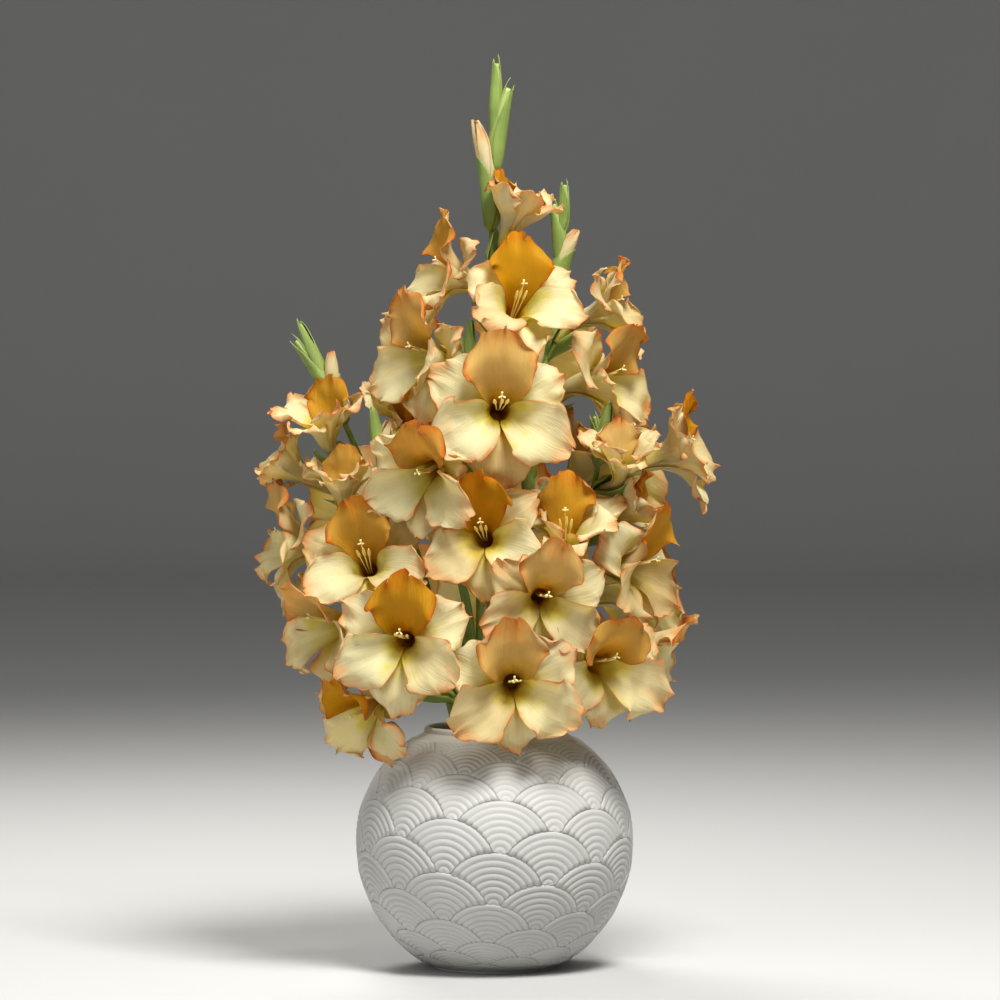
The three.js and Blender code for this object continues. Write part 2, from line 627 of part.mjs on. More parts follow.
// The flat end of the funnel, with a hole for each root that stands on it.
function rimFaces({ frame }, rim, roots) {
  const toFlat = frame.clone().invert();
  const flattened = (point) => {
    const { x, y } = point.clone().applyMatrix4(toFlat);
    return new THREE.Vector2(x, y);
  };
  const flat = (loop) => loop.map(flattened);
  const triangles = THREE.ShapeUtils.triangulateShape(flat(rim), roots.map(flat));
  return { points: [...rim, ...roots.flat()], triangles };
}

// Three stamens and the style, which arch together under the upper petal.
function stamenFaces({ frame, open, size }) {
  return [[-3, 28], [0, 31], [3, 28], [0, 37]].map(([aside, long], k) => {
    const style = k === 3;
    const foot = vector([aside, style ? 4 : 0.5 * Math.abs(aside) - 1.5, 0]);
    const path = new THREE.QuadraticBezierCurve3(
      foot,
      foot.clone().addScaledVector(UP, 0.55 * long * size),
      vector([1.6 * aside, (style ? 11 : 4) * size * open, long * size]),
    );
    const radii = style ? [0.7, 0.7] : [0.6, 1.4];
    const places = radii.map((_, i) => i / (radii.length - 1));
    const lead = new THREE.Vector3(1, 0, 0);
    const radiusAt = (place) => radii[Math.round(place * (radii.length - 1))];
    const { points, triangles } = sweepFaces(path, places, lead, 3, radiusAt);
    return { points: points.map((p) => p.applyMatrix4(frame)), triangles };
  });
}

// A bloom is one body: its petals and stamens grow out of the end of its funnel.
function bloomBody(bloom, petals) {
  const funnel = tubeFaces(bloom);
  const rim = funnel.points.slice(0, 6);
  const organs = bloom.open < 0.9 ? [] : stamenFaces(bloom);
  const roots = [
    ...petals.map(([front, back]) => [...front[0], ...back[0].slice().reverse()]),
    ...organs.map(({ points }) => points.slice(0, 3)),
  ];
  const { points, triangles } = joined([
    funnel,
    rimFaces(bloom, rim, roots),
    ...petals.map(([front, back]) => bladeFaces(front, back, true)),
    ...organs,
  ]);
  return solid(points, triangles);
}

const BRACT_LENGTH = 42; // beyond the start of the tube, where the neck is long enough

// The bract that clasps the foot of a bloom from below. Its root is sunk in the stem.
function bract({ neck, size, start, hold }) {
  const below = neck.getPointAt(0.5).sub(neck.getPointAt(0))
    .addScaledVector(UP, -neck.getLength()).normalize();
  const end = Math.min(0.74, start + BRACT_LENGTH / neck.getLength());
  const swell = start + 0.35 * (end - start);
  const places = [0.02, swell, end];
  const distances = [0.5 * hold, tubeRadius(size, swell) + 4.6, tubeRadius(size, end) + 3.2];
  const spread = [0.7, 1.05, 0];
  const rows = stations(neck, places, below);
  const face = (lift) => rows.map(({ centre, side, other }, i) => [-1, 0, 1].map((across) => {
    const angle = across * spread[i];
    const out = side.clone().multiplyScalar(Math.cos(angle)).addScaledVector(other, Math.sin(angle));
    return centre.clone().addScaledVector(out, distances[i] + lift);
  }));
  return blade(face(BLADE / 2), face(-BLADE / 2));
}

// ---- Assembly ----

// Whether a piece keeps a clearance from every other piece.
function isClear(piece, others, clearance) {
  const box = piece.boundingBox();
  return others.every((other) => {
    const near = [0, 1, 2].every((axis) => (
      box.min[axis] - clearance < other.box.max[axis] && box.max[axis] + clearance > other.box.min[axis]
    ));
    return !near || piece.minGap(other.body, clearance) >= clearance;
  });
}

const settled = []; // every piece so far, with its box and the node that it belongs to

function settle(node, body, isPetal) {
  settled.push({ node, body, box: body.boundingBox(), isPetal });
}

// A petal gives way to what is already settled: it bends in or out, and only then is it shorter. One that
// finds no room at all has no place in the bloom.
function fittedPetal(petal, bloom) {
  const others = settled.filter(({ node }) => node !== bloom.name);
  const own = settled.filter(({ node, isPetal }) => node === bloom.name && isPetal);
  for (const manner of YIELDS) {
    const grids = petalGrids(petal, bloom, manner);
    const body = blade(...grids);
    if (isClear(body, others, PETAL_CLEARANCE) && isClear(body, own, LAYER_GAP)) {
      settle(bloom.name, body, true);
      return [grids];
    }
  }
  return [];
}

const MATERIALS = {
  vase: { color: 0xe9e8e4, roughness: 0.85, metalness: 0 },
  water: { color: 0xdce8ea, roughness: 0.1, metalness: 0 },
  green: { color: 0x7f9a4c, roughness: 0.6, metalness: 0 },
  petal: { color: 0xeccf92, roughness: 0.6, metalness: 0 },
};

const bouquet = new THREE.Group();

function addNode(name, geometry, material) {
  const mesh = new THREE.Mesh(geometry, new THREE.MeshStandardMaterial(MATERIALS[material]));
  mesh.name = name;
  bouquet.add(mesh);
}

function geometryOf(body) {
  const mesh = body.getMesh();
  const geometry = new THREE.BufferGeometry();
  geometry.setAttribute('position', new THREE.BufferAttribute(mesh.vertProperties, mesh.numProp));
  geometry.setIndex(new THREE.BufferAttribute(mesh.triVerts, 1));
  return geometry;
}

// A bloom whose tube is drawn out or back until its end stands a gap away from the stem that carries it.
function seated(bloom, stem) {
  let [near, far] = [0, 1.3 * bloom.start];
  for (let i = 0; i < 10; i += 1) {
    const start = (near + far) / 2;
    const gap = bloomBody({ ...bloom, start }, []).minGap(stem, 2 * GAP);
    [near, far] = gap < GAP ? [start, far] : [near, start];
  }
  return { ...bloom, start: far };
}

function buildBouquet() {
  const vase = vaseShape();
  settle('vase', vase);
  addNode('vase', geometryOf(vase), 'vase');
  const drafts = Object.keys(BLOOMS).map((name, order) => bloomFrom(name, order));

  const holes = [];
  const stems = {};
  Object.entries(SPIKES).forEach(([name, spike]) => {
    const curve = stemCurve(spike);
    const stem = sweep(curve, 0, 1, 9, 5, stemRadius).trimByPlane([0, 0, 1], FLOOR + GAP);
    const below = placeAt(curve, WATER_LEVEL + 20);
    const long = Array.from({ length: 9 }, (_, i) => curve.getPointAt((below * i) / 8));
    long.unshift(long[0].clone().multiplyScalar(2).sub(long[1]));
    holes.push(sweep(new THREE.CatmullRomCurve3(long), 0, 1, 3, 6, () => STEM_RADIUS + 5 * GAP));
    const body = Manifold.union([
      stem,
      ...spike.buds.map((row) => bud(curve, row)),
      ...spike.leaves.map((row) => leaf(curve, row)),
      ...drafts.filter((bloom) => bloom.spike === name).map(bract),
    ]).simplify(SLIVER);
    stems[name] = body;
    settle(name, body);
    addNode(`stem_${name}`, geometryOf(body), 'green');
  });
  addNode('water', geometryOf(waterShape(holes)), 'water');

  const blooms = drafts.map((bloom) => seated(bloom, stems[bloom.spike]));
  blooms.forEach((bloom) => settle(bloom.name, bloomBody(bloom, [])));
  blooms.forEach((bloom) => {
    const petals = PETALS.flatMap((petal, k) => (
      fittedPetal(petal, { ...bloom, phase: 1.7 * bloom.order + 2.3 * k })
    ));
    addNode(`bloom_${bloom.name}`, geometryOf(bloomBody(bloom, petals)), 'petal');
  });
}

buildBouquet();

export default bouquet;
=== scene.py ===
"""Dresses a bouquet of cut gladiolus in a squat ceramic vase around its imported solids."""

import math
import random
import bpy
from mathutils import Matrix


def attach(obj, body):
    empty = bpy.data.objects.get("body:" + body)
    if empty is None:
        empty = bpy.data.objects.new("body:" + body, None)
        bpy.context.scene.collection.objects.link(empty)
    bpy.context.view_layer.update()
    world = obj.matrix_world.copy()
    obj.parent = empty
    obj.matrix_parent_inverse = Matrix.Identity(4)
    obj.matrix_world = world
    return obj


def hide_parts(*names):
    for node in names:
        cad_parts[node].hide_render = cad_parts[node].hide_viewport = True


bl_info = {
    "name": "Gladiolus bouquet",
    "version": (1, 0, 0),
    "blender": (4, 5, 0),
    "location": "View3D > Sidebar > Gladiolus",
    "description": "Ruffled petals, bracts, buds, leaves and a vase with wave relief",
    "category": "Add Mesh",
}

import bpy
import numpy as np
from mathutils import Vector, kdtree
from mathutils.bvhtree import BVHTree

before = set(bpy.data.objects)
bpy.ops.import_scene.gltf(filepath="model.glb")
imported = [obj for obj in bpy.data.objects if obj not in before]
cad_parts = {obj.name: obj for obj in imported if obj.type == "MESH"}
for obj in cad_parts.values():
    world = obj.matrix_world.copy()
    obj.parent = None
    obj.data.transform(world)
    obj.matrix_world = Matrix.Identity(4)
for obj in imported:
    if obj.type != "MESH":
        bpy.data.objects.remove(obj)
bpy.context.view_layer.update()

# ---- Sizes in millimetres, as on the solids ----

MM = 0.001
# Pieces that touch on the real thing stand this far apart.
GAP = 0.3
FOOT_RADIUS = 48
VASE_RADIUS = 110
VASE_WAIST = 102
# The globe is two half ellipses that meet at the waist: how far each would reach from it.
BELOW_WAIST = 113.5
ABOVE_WAIST = 102
VASE_HEIGHT = 194
WALL = 5
FLOOR = 7
LIP_RADIUS = 56.4
LEDGE = 2.8
RECESS = 1.4
GLOBE_TOP = 187.5
WATER_LEVEL = 112

STEM_RADIUS = 4.4
STEM_TIP_RADIUS = 2
TUBE_RADIUS = 2.8
# The share of a bloom's neck from which it widens to a funnel.
THROAT = 0.62
THROAT_RADIUS = 6
FUNNEL_RADIUS = 14.6
PETAL_LENGTH = 68
PETAL_HALF_WIDTH = 28
BLADE = 0.8
BRACT_LENGTH = 42

# The lines of the stems start inside the floor of the vase. The stems stand just above it.
FOOTING = 3

# line: points of the stem.
# buds: height on the stem, tip, radius, whether it shows its petals.
# leaves: height on the stem, tip, width.
SPIKES = {
    "centre": {
        "line": [(2, 0, FOOTING), (0, 0, 194), (-6, 4, 400), (-3, 6, 560), (1, 4, 676)],
        "buds": [(664, (2, 2, 732), 4.6, 0), (636, (14, 0, 713), 6, 0), (590, (-16, -2, 680), 7, 1)],
        "leaves": [(230, (14, 4, 420), 15)],
    },
    "back": {
        "line": [(-32, 6, FOOTING), (15, 27, 194), (26, 34, 380), (48, 40, 530), (55, 42, 596)],
        "buds": [(588, (57, 42, 633), 4.4, 0), (566, (46, 40, 618), 4.8, 0), (546, (67, 40, 592), 6, 1)],
        "leaves": [(226, (2, 52, 350), 15)],
    },
    "right": {
        "line": [(-11, 30, FOOTING), (31, 0, 194), (50, 0, 290), (78, -4, 380), (86, -16, 424)],
        "buds": [(418, (92, -24, 456), 4.4, 0), (402, (78, -22, 448), 4.4, 0)],
        "leaves": [(214, (70, 22, 350), 14)],
    },
    "left": {
        "line": [(11, -30, FOOTING), (-31, 0, 194), (-62, 10, 300), (-104, 8, 400), (-140, 4, 480)],
        "buds": [(472, (-158, 3, 521), 4.8, 0), (456, (-164, 2, 508), 5, 0), (436, (-130, 0, 495), 6.4, 1)],
        "leaves": [(220, (-70, 24, 360), 15), (300, (-96, -10, 440), 12)],
    },
    "low_left": {
        "line": [(32, -6, FOOTING), (-16, -27, 194), (-50, -34, 270), (-78, -34, 360), (-92, -28, 420)],
        "buds": [(412, (-98, -28, 452), 4.6, 0), (398, (-84, -28, 440), 4.6, 1)],
        "leaves": [(206, (-64, -40, 300), 13)],
    },
    "low_front": {
        "line": [(21, 25, FOOTING), (15, -27, 194), (20, -40, 270), (26, -34, 350), (28, -24, 398)],
        "buds": [(390, (30, -18, 436), 4.8, 0), (378, (20, -22, 420), 4.6, 0)],
        "leaves": [(206, (-8, -46, 290), 13)],
    },
    "rear": {
        "line": [(-21, -25, FOOTING), (-16, 27, 194), (-12, 58, 290), (-18, 64, 400), (-20, 62, 486)],
        "buds": [(478, (-20, 62, 522), 4.4, 0), (460, (-30, 64, 508), 4.8, 0), (442, (-10, 66, 498), 5.4, 1)],
        "leaves": [(216, (-40, 64, 350), 14)],
    },
}

# spike, height on the spike, throat, turn and pitch that the bloom faces, roll, how far it is open, size.
BLOOMS = {
    "centre_front": ("centre", 404, (4, -56, 448), 3, 2, 0, 1, 1),
    "low_front_hanging": ("low_front", 206, (14, -88, 234), 4, -8, 4, 1, 0.92),
    "right_front": ("low_front", 256, (36, -88, 302), 8, -10, -8, 0.9, 0.86),
    "low_left_front": ("low_left", 232, (-70, -84, 268), -8, -4, -4, 1, 0.9),
    "low_front_right": ("low_front", 230, (80, -62, 248), 26, -4, 0, 0.95, 0.92),
    "low_front_high": ("low_front", 306, (-8, -54, 346), -4, 10, 6, 0.9, 0.86),
    "centre_hanging": ("centre", 352, (-48, -62, 402), -22, -18, -6, 0.85, 0.88),
    "left_front": ("left", 282, (-100, -44, 322), -8, 22, 8, 0.9, 0.88),
    "right_up": ("right", 306, (56, -50, 340), 0, 56, 0, 0.6, 0.8),
    "centre_left": ("centre", 436, (-42, -30, 490), -48, 0, 0, 0.85, 0.9),
    "centre_high": ("centre", 480, (16, -30, 524), 18, 32, 0, 0.75, 0.86),
    "centre_left_high": ("centre", 506, (-22, -14, 550), -70, 18, 0, 0.75, 0.8),
    "centre_top": ("centre", 552, (12, -2, 592), 76, 66, 0, 0.35, 0.64),
    "right_side": ("right", 296, (98, -26, 322), 62, -4, 0, 0.9, 0.9),
    "right_slim": ("right", 334, (98, -22, 362), 74, 26, 0, 0.25, 0.6),
    "right_outer": ("right", 358, (132, 12, 408), 82, 18, 0, 0.6, 0.8),
    "right_top": ("right", 378, (100, -34, 398), 12, 66, 0, 0.45, 0.6),
    "low_right_side": ("right", 226, (108, -16, 256), 74, -6, 0, 0.8, 0.84),
    "low_left_side": ("low_left", 250, (-118, -46, 278), -56, -4, 0, 0.9, 0.88),
    "low_left_hanging": ("low_left", 214, (-92, -46, 216), -44, -34, 0, 0.8, 0.8),
    "low_left_high": ("low_left", 384, (-70, -10, 436), -10, 44, 0, 0.5, 0.64),
    "left_side": ("left", 296, (-144, -2, 338), -78, 8, 0, 0.75, 0.86),
    "left_up": ("left", 350, (-120, -26, 376), -8, 74, 0, 0.35, 0.62),
    "left_outer": ("left", 350, (-152, 6, 394), -86, 30, 0, 0.4, 0.62),
    "left_top": ("left", 396, (-134, -10, 424), -30, 68, 0, 0.5, 0.7),
    "back_side": ("back", 484, (78, 28, 522), 78, 16, 0, 0.6, 0.72),
    "back_right": ("back", 414, (74, 10, 468), 58, 4, 0, 0.9, 0.9),
    "back_up": ("back", 346, (64, 32, 388), 100, 52, 0, 0.7, 0.8),
    "back_rear": ("back", 440, (34, 84, 492), 168, 12, 0, 0.9, 0.9),
    "back_rear_low": ("back", 352, (84, 84, 396), 136, 2, 0, 0.85, 0.88),
    "right_rear": ("right", 246, (98, 52, 296), 128, -2, 0, 0.85, 0.9),
    "left_rear": ("left", 310, (-96, 60, 356), -154, 8, 0, 0.85, 0.9),
    "rear_high": ("rear", 384, (-36, 108, 424), -168, 12, 0, 0.9, 0.9),
    "rear_middle": ("rear", 310, (16, 108, 346), 164, 4, 0, 0.95, 0.95),
    "rear_low": ("rear", 240, (-46, 100, 276), -156, -6, 0, 0.95, 0.95),
    "rear_hanging": ("rear", 218, (36, 94, 250), 156, -14, 0, 0.9, 0.9),
}

# turn about the bloom's axis, inner layer, length, width, flare of the open bloom, curl of the tip.
PETALS = [
    (90, True, 1, 1.04, 62, 4),
    (210, True, 0.96, 0.96, 70, 12),
    (330, True, 0.96, 0.96, 70, 12),
    (30, False, 0.98, 0.98, 80, 16),
    (150, False, 0.98, 0.98, 80, 16),
    (270, False, 0.94, 0.86, 84, 20),
]
# Where petals leave the throat: their distance from its middle, and their angle from its axis.
INNER_ROOT = 9
OUTER_ROOT = 11.8
ROOT_ANGLE = 24
# The share of a petal over which it bends outwards.
FLARE_END = 0.6
# Waves, rounding and cupping of the solid's petals.
RUFFLE = 4.5
WAVES = 1.4
EDGE_SHIFT = 2.1
FRILL = 0.5
FRILL_TURN = 5.5
ROUND_TIP = 0.17
CUP_RADIUS = 90
# Blooms that are less open than this have fewer points in each petal of their solid.
GROWN = 0.75
# How petals may be shortened, and bent by degrees, to give way to others. The first that fits was taken.
YIELDS = [
    (shrink, bend) for shrink in (1, 0.9, 0.8, 0.7, 0.6, 0.5) for bend in (0, -10, 10, -20, 20, -32, -44)
]
UP = np.array([0.0, 0.0, 1.0])

# ---- What the solids leave out: petals, relief, then the stage in metres ----

PETAL_ROWS = 44
PETAL_COLUMNS = 37
NECK_ROWS = 6
PETAL_THICKNESS = 0.62
RIM_THINNING = 0.3
# Petals down in the tube: their distance from its middle, and how wide they are, in degrees to each side.
INNER_NECK = 4.7
OUTER_NECK = 5.3
NECK_SPREAD = 59
# How many waves and crimps a full turn around the petal would have.
RIM_WAVES = (7, 10)
RIM_CRIMPS = (15, 19)
# How far inner and outer petals are moved apart, and how far the tips of closed ones lean in.
INNER_AHEAD = 1.8
OUTER_BEHIND = 2.2
TIP_CLOSING = 12
# Points along and across a petal where its room is measured, and how far neighbours are looked for.
SHEET_STEPS = 13
FAR = 20
# The room in which a petal spreads in full, and the share of it that its ruffles take up.
ROOMY = 7
ROOM_TAKEN = 0.45
# How open a bloom is when its stamens show.
STAMENS_SHOW = 0.6

# The turned globe is smaller by this, and the relief covers it.
SUNK = 0.6
TURN_SIDES = 128
WATER_SIDES = 96
# The relief's lattice: steps around the globe, steps that it drifts on the way, and where it starts.
WAVE_COLUMNS = 16
WAVE_DRIFT = 2
WAVE_TOP_HEIGHT = 102.4
WAVE_TOP_TURN = 0.04
# More rows and columns than the globe needs.
LATTICE_REACH = 40
RIDGES = 8
# Points across one ridge, and their heights, as shares of its width and height.
RIDGE_STEPS = np.array([0.0, 0.2, 0.5, 0.8])
RIDGE_HEIGHTS = np.array([0.0, 0.8, 1.0, 0.8])
FAN_COLUMNS = 15
# How far the rim of a fan stands out, and how deep its borders and its middle lie in the wall.
TILT = 0.7
FAN_BORDER = -1.7
FAN_UNDERSIDE = -2.2

FLOOR_REACH = 6.0
COVE = 1.6
COVE_STEPS = 12
LENS = 205.7
CAMERA_PLACE = (0.0044, -4.57, 0.5506)
CAMERA_AIM = (0.0044, 0, 0.375)


# ---- Curves and frames along them ----


def smooth(x):
    t = np.clip(x, 0, 1)
    return t * t * (3 - 2 * t)


def unit(v):
    v = np.asarray(v, float)
    return v / np.linalg.norm(v)


def heading(turn, pitch):
    """A level turn from the front (0) to the right (90), and a pitch above the level, in degrees."""
    turn, pitch = math.radians(turn), math.radians(pitch)
    level = math.cos(pitch)
    return np.array([level * math.sin(turn), -level * math.cos(turn), math.sin(pitch)])


def through(*values):
    """A smooth curve through values that are evenly spaced from 0 to 1."""
    return np.poly1d(np.polyfit(np.linspace(0, 1, len(values)), values, len(values) - 1))


class Path:
    """A curve through close points, read by the share of its length."""

    def __init__(self, points):
        self.points = np.array(points, float)
        steps = np.linalg.norm(np.diff(self.points, axis=0), axis=1)
        shares = np.concatenate([[0], np.cumsum(steps)])
        self.length = shares[-1]
        self.shares = shares / self.length

    def at(self, share):
        return np.stack([np.interp(share, self.shares, self.points[:, k]) for k in range(3)], axis=-1)

    def along(self, share):
        step = 0.004
        return unit(self.at(min(1, share + step)) - self.at(max(0, share - step)))

    def share_at_height(self, height):
        return float(np.interp(height, self.points[:, 2], self.shares))


def spline(points, steps=60):
    """A centripetal curve through a few points."""
    p = np.array(points, float)
    p = np.vstack([2 * p[0] - p[1], p, 2 * p[-1] - p[-2]])
    drawn = []
    t = np.linspace(0, 1, steps, endpoint=False)[:, None]
    for a, b, c, d in zip(p, p[1:], p[2:], p[3:]):
        ab, bc, cd = (np.linalg.norm(y - x) ** 0.5 for x, y in ((a, b), (b, c), (c, d)))
        start = ((b - a) / ab - (c - a) / (ab + bc) + (c - b) / bc) * bc
        end = ((c - b) / bc - (d - b) / (bc + cd) + (d - c) / cd) * bc
        bend = -3 * b + 3 * c - 2 * start - end
        drawn.append(b + start * t + bend * t**2 + (2 * b - 2 * c + start + end) * t**3)
    return Path(np.vstack(drawn + [p[-2:-1]]))


def bezier(*corners, steps=64):
    """A curve drawn by its corner points."""
    t = np.linspace(0, 1, steps)[:, None]
    points = [np.tile(np.asarray(c, float), (steps, 1)) for c in corners]
    while len(points) > 1:
        points = [a * (1 - t) + b * t for a, b in zip(points, points[1:])]
    return Path(points[0])


def stations(path, places, lead):
    """Middle, side and other direction at each place, carried along the curve without twisting."""
    side = np.asarray(lead, float)
    rows = []
    for place in places:
        along = path.along(place)
        side = unit(side - along * side.dot(along))
        rows.append((path.at(place), side, np.cross(along, side)))
    return [np.array(column) for column in zip(*rows)]


# ---- Pieces from grids of points ----


class Shape:
    """Points, faces and the values that the materials read, gathered for one piece."""

    def __init__(self):
        self.points = []
        self.faces = []
        self.surfaces = []
        self.values = []
        self.count = 0

    def add(self, points, values, surface, *faces):
        """values are along, across, margin and tint for each point. surface is the number of a material."""
        for some in faces:
            self.faces += (some + self.count).tolist()
            self.surfaces += [surface] * len(some)
        self.points.append(points)
        self.values.append(values)
        self.count += len(points)

    def piece(self, name, materials, slot, *nodes):
        """The object, in place of nodes of the frame."""
        mesh = bpy.data.meshes.new(name)
        mesh.from_pydata(np.vstack(self.points) * MM, [], self.faces)
        values = np.vstack(self.values).astype(np.float32)
        for k, label in enumerate(("along", "across", "margin", "tint")):
            attribute = mesh.attributes.new(label, "FLOAT", "POINT")
            attribute.data.foreach_set("value", values[:, k].copy())
        for material in materials:
            mesh.materials.append(material)
        mesh.polygons.foreach_set("material_index", self.surfaces)
        mesh.shade_smooth()
        obj = bpy.data.objects.new(name, mesh)
        bpy.context.scene.collection.objects.link(obj)
        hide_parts(*nodes)
        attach(obj, "root")


def grid_faces(rows, columns, ring=False):
    """Quads between neighbouring points of a grid, whose columns may close into a ring."""
    i, j = np.meshgrid(np.arange(rows - 1), np.arange(columns if ring else columns - 1), indexing="ij")
    a = i * columns + j
    b = i * columns + (j + 1) % columns
    return np.stack([a, b, b + columns, a + columns], axis=-1).reshape(-1, 4)


def border_of(rows, columns):
    """The points along the edge of a grid, in turn."""
    index = np.arange(rows * columns).reshape(rows, columns)
    return np.concatenate([index[0, :-1], index[:-1, -1], index[-1, :0:-1], index[:0:-1, 0]])


def around(middles, side, other, angle, radius):
    """Points at an angle and a distance around each station of a curve."""
    out = np.cos(angle)[..., None] * side[:, None] + np.sin(angle)[..., None] * other[:, None]
    return middles[:, None] + radius[..., None] * out


def point_values(along, across, margin, tint):
    """What the materials read at each point of a grid."""
    return np.stack(np.broadcast_arrays(along, across, margin, tint), axis=-1)


def grid_normals(grid):
    normals = np.cross(np.gradient(grid, axis=1), np.gradient(grid, axis=0))
    return normals / np.maximum(np.linalg.norm(normals, axis=-1, keepdims=True), 1e-9)


def add_blade(shape, grid, thickness, values, behind=None):
    """A closed thin blade around a grid of points, whose other side may have values of its own."""
    rows, columns = grid.shape[:2]
    half = rows * columns
    offset = grid_normals(grid) * np.broadcast_to(thickness, (rows, columns))[..., None] / 2
    points = np.concatenate([(grid + offset).reshape(-1, 3), (grid - offset).reshape(-1, 3)])
    front = grid_faces(rows, columns)
    back = front[:, ::-1] + half
    border = border_of(rows, columns)
    following = np.roll(border, -1)
    edge = np.stack([following, border, border + half, following + half], axis=-1)
    behind = values if behind is None else behind
    shape.add(points, np.vstack([behind.reshape(-1, 4), values.reshape(-1, 4)]), 0, front, back, edge)


def add_round(shape, path, places, lead, sides, radius_at, values_at, surface=0):
    """A round body along a curve, with closed ends. The radius may differ around it."""
    middles, across, other = stations(path, places, lead)
    angles = 2 * np.pi * np.arange(sides) / sides
    radii = np.array([radius_at(place, angles) * np.ones(sides) for place in places])
    grid = around(middles, across, other, angles, radii)
    count = len(places) * sides
    points = np.concatenate([grid.reshape(-1, 3), middles[:1], middles[-1:]])
    values = np.array([[values_at(place, angle) for angle in angles] for place in places], float)
    values = np.vstack([values.reshape(-1, 4), values[0, :1], values[-1, :1]])
    k = np.arange(sides)
    following = (k + 1) % sides
    start = np.stack([following, k, np.full(sides, count)], axis=-1)
    end = np.stack([count - sides + k, count - sides + following, np.full(sides, count + 1)], axis=-1)
    shape.add(points, values, surface, grid_faces(len(places), sides, ring=True), start, end)


# ---- Materials ----


def shader_node(tree, kind, **given):
    """A node of a shader tree. Its settings, then its sockets, are given by name, with _ for a space."""
    added = tree.nodes.new(kind)
    for name, value in given.items():
        if name.islower():
            setattr(added, name, value)
            continue
        socket = added.inputs[int(name[1:])] if name[1:].isdigit() else added.inputs[name.replace("_", " ")]
        if isinstance(value, bpy.types.NodeSocket):
            tree.links.new(value, socket)
        else:
            socket.default_value = value
    return added


def calculate(tree, operation, a, b=0.0, limit=False):
    return shader_node(tree, "ShaderNodeMath", operation=operation, use_clamp=limit, _0=a, _1=b).outputs[0]


def between(tree, value, low, high, out_low=0.0, out_high=1.0):
    """A value mapped smoothly from one range to another."""
    ends = dict(From_Min=low, From_Max=high, To_Min=out_low, To_Max=out_high)
    added = shader_node(tree, "ShaderNodeMapRange", interpolation_type="SMOOTHSTEP", Value=value, **ends)
    return added.outputs[0]


def blend_colours(tree, share, a, b, kind="MIX"):
    """A share of colour b laid over colour a. Colours are sockets, or their red, green and blue."""
    a, b = (c if isinstance(c, bpy.types.NodeSocket) else (*c, 1) for c in (a, b))
    added = shader_node(tree, "ShaderNodeMix", data_type="RGBA", blend_type=kind, _0=share, _6=a, _7=b)
    return added.outputs[2]


def read_value(tree, label):
    return shader_node(tree, "ShaderNodeAttribute", attribute_name=label).outputs["Fac"]


def colour_steps(tree, value, steps):
    """A colour that runs through steps of (place, colour)."""
    ramp = shader_node(tree, "ShaderNodeValToRGB", Fac=value)
    elements = ramp.color_ramp.elements
    elements.remove(elements[1])
    elements[0].position = steps[0][0]
    elements[0].color = (*steps[0][1], 1)
    for place, colour in steps[1:]:
        elements.new(place).color = (*colour, 1)
    return ramp.outputs["Color"]


def streaks_group():
    """Fine streaks that run along a petal, bract, leaf or stem, and soft mottling over them."""
    group = bpy.data.node_groups.new("Streaks", "ShaderNodeTree")
    face = group.interface
    for label, value in (("Lines", 14.0), ("Length", 1.2), ("Mottle Scale", 90.0)):
        face.new_socket(label, in_out="INPUT", socket_type="NodeSocketFloat").default_value = value
    for label in ("Streak", "Mottle"):
        face.new_socket(label, in_out="OUTPUT", socket_type="NodeSocketFloat")
    given = group.nodes.new("NodeGroupInput")
    result = group.nodes.new("NodeGroupOutput")
    across = calculate(group, "MULTIPLY", read_value(group, "across"), given.outputs["Lines"])
    along = calculate(group, "MULTIPLY", read_value(group, "along"), given.outputs["Length"])
    tint = calculate(group, "MULTIPLY", read_value(group, "tint"), 23.0)
    place = shader_node(group, "ShaderNodeCombineXYZ", X=across, Y=along, Z=tint).outputs[0]
    fibre = shader_node(group, "ShaderNodeTexNoise", Vector=place, Scale=1.0, Detail=3.0, Roughness=0.6)
    mottle = noise(group, own_space(group), given.outputs["Mottle Scale"], 2.0)
    group.links.new(fibre.outputs["Fac"], result.inputs["Streak"])
    group.links.new(mottle, result.inputs["Mottle"])
    return group


def place_streaks(tree, lines, length, mottle):
    """Streak and mottle from the group that all these materials share."""
    group = bpy.data.node_groups.get("Streaks") or streaks_group()
    added = tree.nodes.new("ShaderNodeGroup")
    added.node_tree = group
    for label, value in (("Lines", lines), ("Length", length), ("Mottle Scale", mottle)):
        added.inputs[label].default_value = value
    return added.outputs["Streak"], added.outputs["Mottle"]


def own_space(tree):
    return tree.nodes.new("ShaderNodeTexCoord").outputs["Object"]


def noise(tree, where, scale, detail):
    return shader_node(tree, "ShaderNodeTexNoise", Vector=where, Scale=scale, Detail=detail).outputs["Fac"]


def bump(tree, height, distance, strength):
    added = shader_node(tree, "ShaderNodeBump", Height=height, Distance=distance, Strength=strength)
    return added.outputs["Normal"]


def skin(tree, **sockets):
    return shader_node(tree, "ShaderNodeBsdfPrincipled", **sockets).outputs[0]


def thin_skin(tree, surface, light, relief, share):
    """A surface that lets a share of the light through."""
    glow = shader_node(tree, "ShaderNodeBsdfTranslucent", Color=light, Normal=relief).outputs[0]
    return shader_node(tree, "ShaderNodeMixShader", Fac=share, _1=surface, _2=glow).outputs[0]


def new_material(name):
    material = bpy.data.materials.new(name)
    material.use_nodes = True
    material.node_tree.nodes.clear()
    return material.node_tree


def finish_material(tree, surface):
    shader_node(tree, "ShaderNodeOutputMaterial", Surface=surface)


